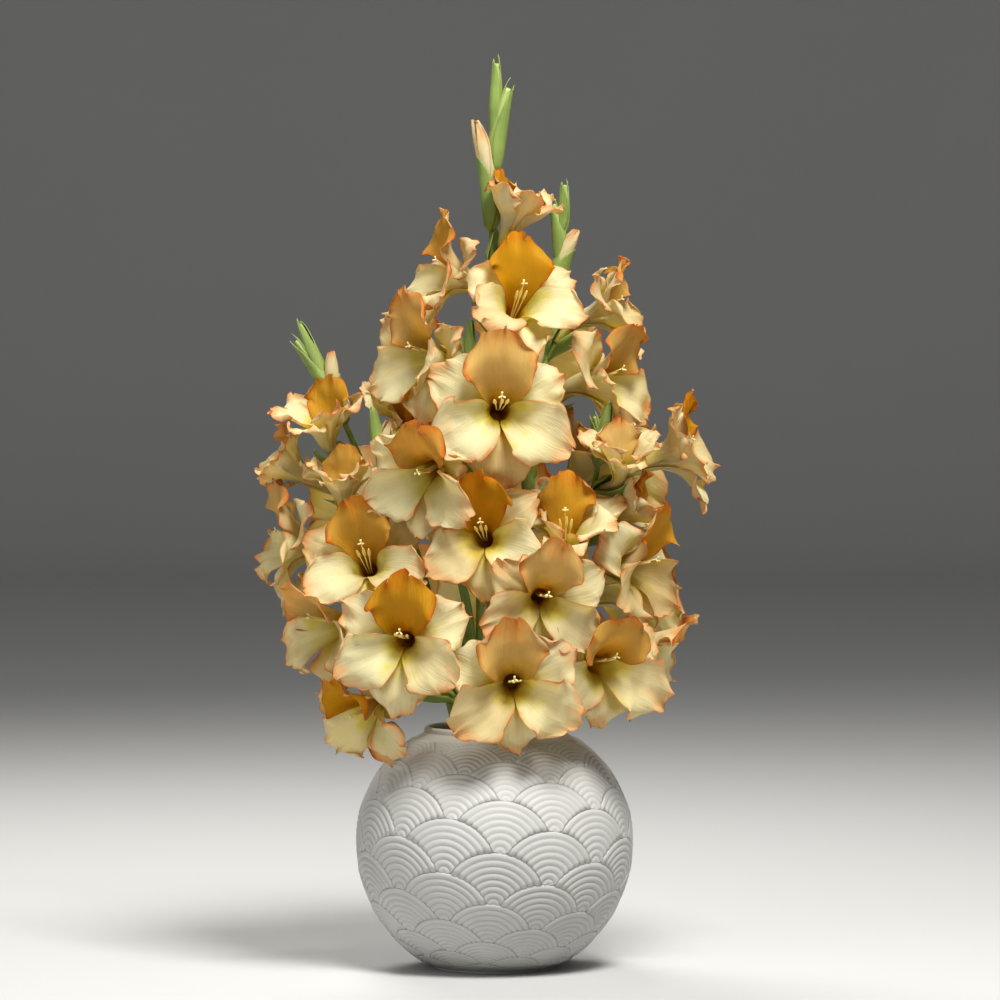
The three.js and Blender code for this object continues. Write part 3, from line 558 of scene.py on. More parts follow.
def petal_material(name, looks):
    """Deep yellow in the throat, cream in the middle, apricot towards the tip, orange along the edge, with
    painted shade in deep ochre on the uppermost petals.
    """
    tree = new_material(name)
    streak, mottle = place_streaks(tree, 14.0, 2.4, 60.0)
    wander = calculate(tree, "MULTIPLY", calculate(tree, "SUBTRACT", mottle, 0.5), 0.85)
    fibre = calculate(tree, "MULTIPLY", calculate(tree, "SUBTRACT", streak, 0.5), 0.24)
    stray = calculate(tree, "ADD", wander, fibre)
    length = calculate(tree, "ADD", read_value(tree, "along"), stray)
    place = calculate(tree, "MULTIPLY", calculate(tree, "ADD", length, 0.4), 0.667, limit=True)
    steps = [
        (0.0, looks.throat_deep),
        (0.24, looks.throat),
        (0.4, looks.heart),
        (0.56, looks.cream),
        (0.78, looks.cream),
        (0.98, looks.apricot),
    ]
    body = colour_steps(tree, place, steps)
    margin = read_value(tree, "margin")
    edge_place = calculate(tree, "ADD", margin, stray)
    body = blend_colours(tree, between(tree, edge_place, 0.5, 1.05, 0, 0.85), body, looks.apricot)
    body = blend_colours(tree, between(tree, edge_place, 0.8, 1.12, 0, 0.8), body, looks.edge)
    thin = calculate(tree, "ADD", margin, calculate(tree, "MULTIPLY", stray, 0.2))
    body = blend_colours(tree, between(tree, thin, 0.965, 1.01, 0, 0.6), body, looks.frill)
    # Painted shade: the tint lays deep ochre over the uppermost petals in place of their shadow and the light
    # through them, and a little random ochre over the others.
    ochre_share_and_painted_shade = calculate(tree, "MULTIPLY", read_value(tree, "tint"), 1.0, limit=True)
    body = blend_colours(tree, ochre_share_and_painted_shade, body, looks.ochre_and_painted_shade, "MULTIPLY")
    veins = between(tree, streak, 0.35, 0.75, 0, 0.22)
    body = blend_colours(tree, veins, body, looks.vein, "MULTIPLY")
    creases, patches = place_streaks(tree, 36.0, 2.0, 150.0)
    creases = calculate(tree, "MULTIPLY", creases, calculate(tree, "ADD", margin, 0.15))
    height = calculate(tree, "ADD", calculate(tree, "MULTIPLY", streak, 0.5), creases)
    height = calculate(tree, "ADD", height, calculate(tree, "MULTIPLY", patches, 0.35))
    relief = bump(tree, height, 0.0022, 0.5)
    surface = skin(tree, Base_Color=body, Roughness=0.5, Specular_IOR_Level=0.2, Normal=relief)
    glow = blend_colours(tree, 0.8, body, looks.glow, "MULTIPLY")
    finish_material(tree, thin_skin(tree, surface, glow, relief, 0.46))


def stamen_material(name, looks):
    """Pale threads, and anthers rough with pollen."""
    tree = new_material(name)
    along = between(tree, read_value(tree, "along"), 0, 1)
    body = colour_steps(tree, along, [(0.0, looks.filament), (0.7, looks.filament), (0.8, looks.anther)])
    relief = bump(tree, noise(tree, own_space(tree), 1800.0, 2.0), 0.0003, 0.6)
    finish_material(tree, skin(tree, Base_Color=body, Roughness=0.6, Normal=relief))


def green_material(name, looks):
    """Waxy green with fine ribs along it, paler towards thin edges."""
    tree = new_material(name)
    streak, mottle = place_streaks(tree, 26.0, 0.8, 45.0)
    patches = between(tree, mottle, 0.3, 0.7)
    body = blend_colours(tree, patches, looks.leaf_dark, looks.leaf)
    body = blend_colours(tree, between(tree, streak, 0.4, 0.75, 0, 0.6), body, looks.leaf_light)
    tint = calculate(tree, "MULTIPLY", read_value(tree, "tint"), 1.0, limit=True)
    body = blend_colours(tree, tint, body, looks.bud)
    edge = between(tree, read_value(tree, "margin"), 0.8, 1.0, 0, 0.7)
    body = blend_colours(tree, edge, body, looks.rim)
    relief = bump(tree, streak, 0.0008, 0.6)
    rough = calculate(tree, "ADD", calculate(tree, "MULTIPLY", mottle, 0.2), 0.34)
    surface = skin(tree, Base_Color=body, Roughness=rough, Normal=relief)
    finish_material(tree, thin_skin(tree, surface, body, relief, 0.12))


def ceramic_material(name, looks):
    """Unglazed white porcelain: matt, with a fine grain and painted shade darkening the grooves."""
    tree = new_material(name)
    where = own_space(tree)
    cloud = noise(tree, where, 9.0, 3.0)
    grain = noise(tree, where, 900.0, 3.0)
    clouding = between(tree, cloud, 0.3, 0.7)
    body = blend_colours(tree, clouding, looks.bisque, looks.bisque_shade)
    # Painted shade: the grooves of the relief are darkened towards the groove tone.
    painted_groove_shade = between(tree, read_value(tree, "margin"), 0.3, 1.0, 0, 0.5)
    body = blend_colours(tree, painted_groove_shade, body, looks.bisque_groove_shade)
    relief = bump(tree, grain, 0.00018, 0.5)
    rough = between(tree, grain, 0.3, 0.7, 0.55, 0.75)
    finish_material(tree, skin(tree, Base_Color=body, Roughness=rough, Normal=relief))


def water_material(name, looks):
    """Clear water, a little uneven."""
    tree = new_material(name)
    relief = bump(tree, noise(tree, own_space(tree), 22.0, 1.0), 0.0006, 0.4)
    colour = (0.93, 0.97, 0.96, 1)
    clear = skin(
        tree, Base_Color=colour, Roughness=0.02, IOR=1.333, Transmission_Weight=1.0, Normal=relief
    )
    finish_material(tree, clear)


def floor_material(name, looks):
    """Plain and matt, with a faint clouding."""
    tree = new_material(name)
    cloud = noise(tree, own_space(tree), 2.0, 2.0)
    darker = [0.96 * c for c in looks.floor]
    body = blend_colours(tree, cloud, looks.floor, darker)
    finish_material(tree, skin(tree, Base_Color=body, Roughness=0.85))


# The names differ from those of the materials that the frame brings.
FINISHES = {
    "ruffled_petal": petal_material,
    "stamen": stamen_material,
    "ribbed_green": green_material,
    "bisque": ceramic_material,
    "clear_water": water_material,
    "floor": floor_material,
}


def finish_of(name, looks):
    """A material, made when it is first asked for."""
    if name not in bpy.data.materials:
        FINISHES[name](name, looks)
    return bpy.data.materials[name]


# ---- Vase and water ----


def globe_radius(height, inset=0.0):
    """Two half ellipses that meet at the waist."""
    reach = BELOW_WAIST if height < VASE_WAIST else ABOVE_WAIST
    rise = (height - VASE_WAIST) / (reach - inset)
    return (VASE_RADIUS - inset) * math.sqrt(max(0, 1 - rise * rise))


def turned(name, outline, sides):
    """A disc raised ring by ring along an outline of (radius, height), and closed on the axis."""
    bpy.ops.object.select_all(action="DESELECT")
    radius, height = outline[0]
    bpy.ops.mesh.primitive_circle_add(
        vertices=sides, radius=radius * MM, fill_type="TRIFAN", location=(0, 0, height * MM)
    )
    obj = bpy.context.object
    obj.name = name
    obj.data.name = name
    bpy.ops.object.transform_apply(location=True, rotation=True, scale=True)
    bpy.ops.object.mode_set(mode="EDIT")
    bpy.ops.mesh.select_all(action="SELECT")
    bpy.ops.mesh.region_to_loop()
    for wider, higher in outline[1:]:
        bpy.ops.mesh.extrude_edges_move(
            TRANSFORM_OT_translate={"value": (0, 0, (higher - height) * MM), "orient_type": "GLOBAL"}
        )
        grown = wider / radius
        bpy.ops.transform.resize(value=(grown, grown, 1), center_override=(0, 0, higher * MM))
        radius, height = wider, higher
    bpy.ops.mesh.extrude_edges_move(TRANSFORM_OT_translate={"value": (0, 0, 0)})
    bpy.ops.mesh.merge(type="CENTER")
    bpy.ops.mesh.select_all(action="SELECT")
    bpy.ops.mesh.normals_make_consistent(inside=False)
    bpy.ops.object.mode_set(mode="OBJECT")
    bpy.ops.object.shade_smooth_by_angle(angle=math.radians(40))
    return obj


def rounded(centre, radius, start, end, steps):
    """Points of an arc in the outline's plane, its angles in degrees from straight out to straight up."""
    turns = [math.radians(start + (end - start) * i / steps) for i in range(steps + 1)]
    return [(centre[0] + radius * math.cos(a), centre[1] + radius * math.sin(a)) for a in turns]


def vase_outline():
    """Foot with its recess, globe, short lip with a round edge, and the inside back down to the floor."""
    outer = [(globe_radius(h, SUNK), h) for h in np.linspace(LEDGE + 0.6, GLOBE_TOP, 72)]
    inner = [(globe_radius(h, WALL), h) for h in np.linspace(GLOBE_TOP - 3, FLOOR + 2, 64)]
    lip = LIP_RADIUS - WALL / 2
    return [
        (FOOT_RADIUS - 6, 0.9),
        (FOOT_RADIUS - 4.5, 0),
        (FOOT_RADIUS - 0.5, 0),
        (FOOT_RADIUS, 0.5),
        (FOOT_RADIUS, LEDGE / 2),
        (FOOT_RADIUS - RECESS, LEDGE / 2 + 0.2),
        (FOOT_RADIUS - RECESS, LEDGE),
        *outer,
        (LIP_RADIUS + 0.1, GLOBE_TOP + 1.8),
        *rounded((lip, VASE_HEIGHT - WALL / 2), WALL / 2, 0, 180, 12),
        (LIP_RADIUS - WALL + 0.2, GLOBE_TOP - 0.6),
        *inner,
        (globe_radius(FLOOR + 2, WALL) - 5, FLOOR + 0.2),
        (24, FLOOR),
    ]


def conformal_heights():
    """Heights on the globe, its radius at each, and where each lies on a map that keeps shapes."""
    heights = np.linspace(LEDGE, GLOBE_TOP, 400)
    radii = np.array([globe_radius(h) for h in heights])
    steps = np.hypot(np.diff(heights), np.diff(radii)) / ((radii[1:] + radii[:-1]) / 2)
    return heights, radii, np.concatenate([[0], np.cumsum(steps)])


class WaveRelief:
    """Overlapping wave fans laid around the globe on a slanted lattice that closes on itself."""

    def __init__(self, ridge):
        self.ridge = ridge
        self.heights, self.radii, self.map = conformal_heights()
        self.radius = 2 * math.pi / math.hypot(WAVE_COLUMNS, WAVE_DRIFT)
        self.slant = math.atan2(WAVE_DRIFT, WAVE_COLUMNS)

    def place(self, turn, map_height, lift):
        """Points on the globe for places of the map, moved outwards by lift."""
        height = np.interp(map_height, self.map, self.heights)
        reach = np.where(height < VASE_WAIST, BELOW_WAIST, ABOVE_WAIST)
        rise = (height - VASE_WAIST) / reach
        radius = VASE_RADIUS * np.sqrt(np.maximum(0, 1 - rise**2))
        outward = radius / VASE_RADIUS**2
        upward = (height - VASE_WAIST) / reach**2
        size = np.hypot(outward, upward)
        past = np.maximum(map_height - self.map[-1], 0) + np.maximum(self.map[0] - map_height, 0)
        radius = radius + (lift * outward / size) - 12 * past
        height = height + lift * upward / size
        return np.stack([radius * np.sin(turn), -radius * np.cos(turn), height], axis=-1)

    def fan(self, shape, turn, map_height):
        """One fan: rounded ridges around its centre, as far around as the fans below leave it free."""
        r = np.concatenate([(i + RIDGE_STEPS) / RIDGES for i in range(RIDGES)] + [[1.0, 1.0]])
        k = r + 1 / np.maximum(4 * r, 1e-6)
        free = math.atan(0.5) + np.arcsin(np.minimum(k / math.sqrt(5), 1))
        free = np.where(k > math.sqrt(5), math.pi, free)
        free = np.minimum(free, np.arccos(-r / 2))
        angle = free[:, None] * np.concatenate([[-1], np.linspace(-1, 1, FAN_COLUMNS), [1]])
        reach = r[:, None] * self.radius
        across = reach * np.sin(angle)
        up = reach * np.cos(angle)
        c, s = math.cos(self.slant), math.sin(self.slant)
        turns = turn + across * c + up * s
        heights = map_height + up * c - across * s
        shrink = np.interp(heights, self.map, self.radii) / VASE_RADIUS
        wave = np.concatenate([RIDGE_HEIGHTS] * RIDGES + [[0.0, 0.0]])[:, None]
        edge = smooth((heights - self.map[0] - 0.06) / 0.1) * smooth((self.map[-1] - 0.05 - heights) / 0.08)
        lift = (TILT * r[:, None] ** 2 + self.ridge * wave) * shrink
        lift = lift * edge - (1 - edge) * 1.1
        lift[-1] = FAN_BORDER
        lift[:, [0, -1]] = FAN_BORDER
        points = self.place(turns, heights, lift)
        rows, columns = points.shape[:2]
        # Painted shade: points down in the grooves and along a fan's borders get a margin value that darkens
        # them.
        painted_groove_shade = np.clip(1 - wave * 1.2, 0, 1) * np.ones((1, columns))
        painted_groove_shade[:, [0, -1]] = 1
        values = point_values(0, 0, painted_groove_shade, 0)
        values = np.vstack([values.reshape(-1, 4), values[0, :1]])
        middle = np.array([turn]), np.array([map_height + 0.4 * self.radius])
        under = self.place(*middle, np.array([FAN_UNDERSIDE]))
        points = np.vstack([points.reshape(-1, 3), under])
        border = border_of(rows, columns)
        closing = np.stack([np.roll(border, -1), border, np.full(len(border), rows * columns)], -1)
        shape.add(points, values, 0, grid_faces(rows, columns), closing)

    def cover(self, shape):
        """Fans at every place of the lattice whose ridges reach the globe."""
        c, s = math.cos(self.slant), math.sin(self.slant)
        top = float(np.interp(WAVE_TOP_HEIGHT, self.heights, self.map))
        for row in range(-LATTICE_REACH, LATTICE_REACH):
            for column in range(-LATTICE_REACH, LATTICE_REACH):
                x = (2 * column + row) * self.radius
                y = row * self.radius / 2 - self.radius
                turn = WAVE_TOP_TURN + x * c + y * s
                height = top + y * c - x * s
                inside = self.map[0] - 1.02 * self.radius < height < self.map[-1] + 0.6 * self.radius
                if -math.pi <= turn - 1e-6 < math.pi and inside:
                    self.fan(shape, turn, height)


def water_outline():
    """The inside of the globe up to the water's level, where it creeps up the wall a little."""
    inset = WALL + GAP
    sides = [(globe_radius(h, inset), h) for h in np.linspace(FLOOR + 2.4, WATER_LEVEL + 0.9, 40)]
    edge = globe_radius(WATER_LEVEL, inset)
    return [
        (24, FLOOR + GAP),
        (globe_radius(FLOOR + 2.4, inset) - 5, FLOOR + GAP + 0.2),
        *sides,
        (edge - 0.8, WATER_LEVEL + 0.3),
        (edge - 2.4, WATER_LEVEL),
        (edge - 30, WATER_LEVEL),
        (30, WATER_LEVEL),
    ]


# ---- Spikes ----


def stem_radius(share):
    return STEM_RADIUS + (STEM_TIP_RADIUS - STEM_RADIUS) * share


def rising_path(stem, height, tip):
    """A path that leaves the stem upwards and ends at tip, and how far it leaves it."""
    share = stem.share_at_height(height)
    foot, along, tip = stem.at(share), stem.along(share), np.array(tip, float)
    length = np.linalg.norm(tip - foot)
    outward = tip - foot - along * length
    outward = outward if np.linalg.norm(outward) > 1 else np.array([1.0, 0, 0])
    return bezier(foot, foot + along * length / 2, tip), unit(outward)


def add_sheath(shape, path, lead, first, last, radius_at, spread, tint, keel=0.0, flare=0.0):
    """A pointed bract that wraps a path from one place to another, keeled along its back."""
    rows, columns = 22, 11
    t = np.linspace(0, 1, rows)
    w = np.linspace(-1, 1, columns)
    middles, side, other = stations(path, first + (last - first) * t, lead)
    spreads = spread * np.maximum((1 - t**3.4) ** 0.8, 0.05) * (0.7 + 0.3 * smooth(t / 0.3))
    angle = w * spreads[:, None]
    radius = radius_at(t)[:, None] + keel * np.exp(-((w / 0.16) ** 2)) * np.sin(np.pi * t)[:, None]
    radius = radius + flare * t[:, None] ** 3 + 0.25 * np.sin(9 * angle + 4 * t[:, None]) * t[:, None]
    grid = around(middles, side, other, angle, radius)
    margin = np.maximum(np.abs(w) ** 6, t[:, None] ** 9)
    values = point_values(t[:, None], angle, margin, tint)
    add_blade(shape, grid[:, ::-1], 0.7 - 0.35 * margin[:, ::-1], values[:, ::-1])


def add_leaf(shape, stem, height, tip, width, tint):
    """A sword leaf: folded along its middle at the foot, and flatter, slightly twisted towards its tip."""
    path, outward = rising_path(stem, height, tip)
    rows, columns = 44, 13
    t = np.linspace(0, 1, rows)
    w = np.linspace(-1, 1, columns)
    middles, side, other = stations(path, t, outward)
    half = width / 2 * np.maximum(through(0.62, 1, 0.82, 0)(t), 0.02)
    aside = w * half[:, None]
    fold = 0.4 * (1 - 0.5 * t[:, None]) * np.abs(aside) * (1 - 0.25 * np.abs(w))
    ribs = 0.22 * np.cos(7 * np.pi * w) * (1 - t[:, None]) ** 0.3
    drift = 0.5 * np.sin(5 * t[:, None] + 2 * w)
    grid = middles[:, None] + aside[..., None] * other[:, None]
    lift = fold + ribs * 0.5 + drift * np.abs(w) + stem_radius(0.4) * 0.3
    grid = grid + lift[..., None] * side[:, None]
    margin = np.maximum(np.abs(w) ** 10, t[:, None] ** 24)
    values = point_values(t[:, None] * 2.4, w * 1.3, margin, tint)
    add_blade(shape, grid[:, ::-1], 0.9 - 0.5 * margin[:, ::-1], values[:, ::-1])


def add_bud(shape, stem, height, tip, radius, tint, shows):
    """A closed bud: a spindle of green petals in two keeled bracts, shorter where its petals show."""
    covered = 0.74 if shows else 1.0
    path, outward = rising_path(stem, height, tip)
    swell = lambda t: 0.88 * np.sin(np.pi * np.clip(t, 0, 1) ** 0.66) ** 0.8 + 0.3 * (1 - t) ** 3 + 0.05
    body = lambda place, angles: radius * swell(place) * (1 + 0.05 * np.cos(3 * angles))
    places = np.linspace(0, 0.88 * covered, 22)
    colour = lambda place, angle: (place, angle / 4, 0, min(1, 0.35 + tint))
    add_round(shape, path, places, outward, 14, body, colour)
    outer_end, inner_end = 0.93 * covered, 0.99 * covered
    cover = lambda t: radius * np.maximum(swell(outer_end * t), 0.3 * (1 - t)) + 0.7
    add_sheath(shape, path, outward, 0.0, outer_end, cover, 1.9, tint * 0.4, keel=0.5, flare=1.8)
    inner = lambda t: radius * np.maximum(swell(inner_end * t), 0.3 * (1 - t)) + 0.45
    add_sheath(shape, path, -outward, 0.02, inner_end, inner, 1.6, 0.15 + tint * 0.4, keel=0.4, flare=0.3)
    return path, outward


def add_furled(shape, path, outward, radius, rng):
    """Cream petals that show at the top of a bud, rolled around each other and ruffled where they end."""
    rows, columns = 26, 19
    t = np.linspace(0, 1, rows)[:, None]
    w = np.linspace(-1, 1, columns)
    for k in range(3):
        turn = 2.1 * k + rng.random()
        middles, side, other = stations(path, 0.4 + (0.55 + 0.022 * k) * t[:, 0], outward)
        angle = turn + 1.3 * w * (1 - 0.4 * t**2) + 1.1 * t
        ring = radius * (0.82 + 0.2 * t - 0.78 * t**4) + 0.3 * k
        ring = ring + (0.3 + 0.7 * t**3) * np.sin(5 * w + 3 * k) * t**2
        grid = around(middles, side, other, angle, ring)
        margin = np.maximum(np.abs(w) ** 5, t**5)
        values = point_values(0.25 + 0.7 * t, w, margin, 0.1)
        add_blade(shape, grid[:, ::-1], 0.4, values[:, ::-1])


# ---- Blooms ----


def all_blooms():
    return [Bloom(name, order) for order, name in enumerate(BLOOMS)]


class Bloom:
    """Where a bloom stands: its neck from stem to throat, and the frame that its petals stand in."""

    def __init__(self, name, order):
        self.name = name
        self.spike, height, throat, turn, pitch, roll, self.open, self.size = BLOOMS[name]
        stem = spline(SPIKES[self.spike]["line"])
        share = stem.share_at_height(height)
        foot, rising = stem.at(share), stem.along(share)
        self.throat = np.array(throat, float)
        facing = heading(turn, pitch)
        reach = np.linalg.norm(self.throat - foot)
        leaving = unit(unit(self.throat - foot) + rising)
        bends = foot + leaving * 0.4 * reach, self.throat - facing * 0.4 * reach
        self.neck = bezier(foot, *bends, self.throat)
        lean = math.acos(leaving.dot(rising))
        self.hold = stem_radius(share)
        shoulder = self.hold + TUBE_RADIUS * math.cos(lean) + 3 * GAP
        self.start = shoulder / math.sin(lean) / self.neck.length
        level = unit(UP - facing * facing[2])
        tilt = math.radians(roll)
        upper = level * math.cos(tilt) + np.cross(facing, level) * math.sin(tilt)
        self.right = np.cross(upper, facing)
        self.frame = np.array([self.right, upper, facing])
        self.phase = 1.7 * order
        self.rng = random.Random(order + 11)

    def placed(self, points):
        return self.throat + points @ self.frame

    def below(self):
        return unit(self.neck.at(0.5) - self.neck.at(0) - UP * self.neck.length)


def petal_width(v):
    """Width along a petal, as a share of its full width."""
    return 0.3 * (1 - v) ** 2 + np.sin(2.32 * np.maximum(v, 0) ** 1.1)


def petal_angle(petal, bloom, bend, v):
    """A petal's angle from the axis of its bloom, along the petal."""
    flare = ROOT_ANGLE + (petal[4] - ROOT_ANGLE) * bloom.open + bend
    curl = petal[5] * bloom.open * smooth((v - FLARE_END) / (1 - FLARE_END))
    return np.radians(ROOT_ANGLE + (flare - ROOT_ANGLE) * smooth(v / FLARE_END) + curl)


def petal_surface(petal, bloom, k, manner, v, w, reach, lift=0.0):
    """Points and facing of a petal's middle layer: v along it, w across it, reach how far up its midrib."""
    turn, inner, long, broad = petal[:4]
    shrink, bend = manner
    root = (INNER_ROOT if inner else OUTER_ROOT) * bloom.size
    length = PETAL_LENGTH * long * bloom.size * shrink
    steps = (np.arange(12) + 0.5) / 12
    angles = petal_angle(petal, bloom, bend, reach[..., None] * steps)
    out = root + length * reach * np.sin(angles).mean(axis=-1)
    up = length * reach * np.cos(angles).mean(axis=-1)
    angle = petal_angle(petal, bloom, bend, reach)
    aside = w * PETAL_HALF_WIDTH * broad * bloom.size * shrink * petal_width(v)
    curvature = (1 - v) ** 2 / root + 1 / (CUP_RADIUS * bloom.size)
    swing = aside * curvature
    phase = bloom.phase + 2.3 * k
    edge = np.abs(w) ** 1.5 * smooth(v * 1.5)
    wave = np.sin(2 * np.pi * WAVES * v + phase + EDGE_SHIFT * np.sign(w))
    frill = FRILL * v**4 * np.sin(FRILL_TURN * w + phase)
    lift = lift + RUFFLE * bloom.size * (edge * wave + frill)
    turn = math.radians(turn)
    radial = np.array([math.cos(turn), math.sin(turn), 0])
    tangent = np.array([-radial[1], radial[0], 0])
    face = -np.cos(angle)[..., None] * radial + np.sin(angle)[..., None] * UP
    points = out[..., None] * radial + up[..., None] * UP + (np.sin(swing) / curvature)[..., None] * tangent
    points = points + ((1 - np.cos(swing)) / curvature + lift)[..., None] * face
    normals = face * np.cos(swing)[..., None] - tangent * np.sin(swing)[..., None]
    return points, normals


def solid_tree(node):
    """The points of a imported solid, in millimetres, ready to be searched."""
    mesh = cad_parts[node].data
    tree = kdtree.KDTree(len(mesh.vertices))
    for vertex in mesh.vertices:
        tree.insert(vertex.co / MM, vertex.index)
    tree.balance()
    return tree


def surroundings():
    """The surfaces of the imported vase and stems, in millimetres, to measure how near they are."""
    corners, faces = [], []
    for name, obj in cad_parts.items():
        if name == "vase" or name.startswith("stem_"):
            faces += [[len(corners) + i for i in polygon.vertices] for polygon in obj.data.polygons]
            corners += [vertex.co / MM for vertex in obj.data.vertices]
    return BVHTree.FromPolygons(corners, faces)


def petal_manner(petal, bloom, k, tree):
    """How much the solid's petal is shortened and bent, or None where the solid has no such petal."""
    places = [0.5, 1.0] if bloom.open < GROWN else [0.32, 0.66, 1.0]
    v, w = np.meshgrid(places, [-1.0, 0.0, 1.0], indexing="ij")
    reach = v * (1 - ROUND_TIP * w * w * v * v)
    for manner in YIELDS:
        points, normals = petal_surface(petal, bloom, k, manner, v, w, reach)
        corners = bloom.placed((points + normals * BLADE / 2).reshape(-1, 3))
        if all(tree.find(Vector(corner))[2] < 0.08 for corner in corners):
            return manner
    return None


def petal_reach(v, w):
    """How far along the midrib a place of the petal lies, so that the sides end before the tip."""
    return v * (1 - v * v * (0.22 * w * w + 0.08 * w**6))


def layer_lift(petal, bloom, v):
    """Inner petals stand a little before the solid's and outer ones behind, and young tips close in."""
    parting = (INNER_AHEAD if petal[1] else -OUTER_BEHIND) * smooth((v - 0.12) / 0.45) * (1 - 0.4 * v)
    return bloom.size * (parting + TIP_CLOSING * (1 - bloom.open) * smooth((v - 0.45) / 0.55))


class Sheet:
    """A petal before it is ruffled, which knows how much room its neighbours leave it."""

    def __init__(self, petal, bloom, k, manner):
        self.petal, self.bloom, self.k, self.manner = petal, bloom, k, manner
        v, w = np.meshgrid(np.linspace(0, 1, SHEET_STEPS), np.linspace(-1, 1, SHEET_STEPS), indexing="ij")
        lift = layer_lift(petal, bloom, v)
        points = petal_surface(petal, bloom, k, manner, v, w, petal_reach(v, w), lift)[0]
        self.points = bloom.placed(points).reshape(-1, 3)
        self.low = self.points.min(axis=0)
        self.high = self.points.max(axis=0)
        faces = grid_faces(SHEET_STEPS, SHEET_STEPS)
        self.tree = BVHTree.FromPolygons(self.points.tolist(), faces.tolist())

    def is_near(self, other):
        below, above = self.low < other.high + FAR, other.low < self.high + FAR
        return other is not self and below.all() and above.all()

    def room(self, sheets, solids, v, w):
        """Distances to the nearest neighbour, for rows v and columns w of the petal."""
        trees = [solids] + [other.tree for other in sheets if self.is_near(other)]
        gaps = [min(tree.find_nearest(Vector(p), FAR)[3] or FAR for tree in trees) for p in self.points]
        rows = np.pad(np.array(gaps).reshape(SHEET_STEPS, SHEET_STEPS), 1, mode="edge")
        rows = (rows[:-2] + 2 * rows[1:-1] + rows[2:]) / 4
        rows = (rows[:, :-2] + 2 * rows[:, 1:-1] + rows[:, 2:]) / 4
        steps = np.linspace(0, 1, SHEET_STEPS)
        rows = np.array([np.interp(w, 2 * steps - 1, row) for row in rows])
        return np.array([np.interp(v, steps, column) for column in rows.T]).T


def petal_neck(petal, bloom, w, blade):
    """The rows of a petal down in the tube, where it narrows to its part of the wall, and their depths."""
    turn, inner = petal[:2]
    root = (INNER_ROOT if inner else OUTER_ROOT) * bloom.size
    narrow = (INNER_NECK if inner else OUTER_NECK) * bloom.size
    u = np.linspace(-1, 0, NECK_ROWS + 1)
    middles, side, other = stations(bloom.neck, (1 + u * (1 - THROAT))[::-1], bloom.right)
    radii = narrow + (root - narrow) * (1 + u) ** 1.2
    angle = math.radians(turn) + w * math.radians(NECK_SPREAD)
    neck = around(middles[::-1], side[::-1], other[::-1], angle, radii[:, None])
    share = (1 + u[:-1])[:, None, None] ** 2
    return u[:-1], neck[:-1] + (blade[0] - neck[-1]) * share


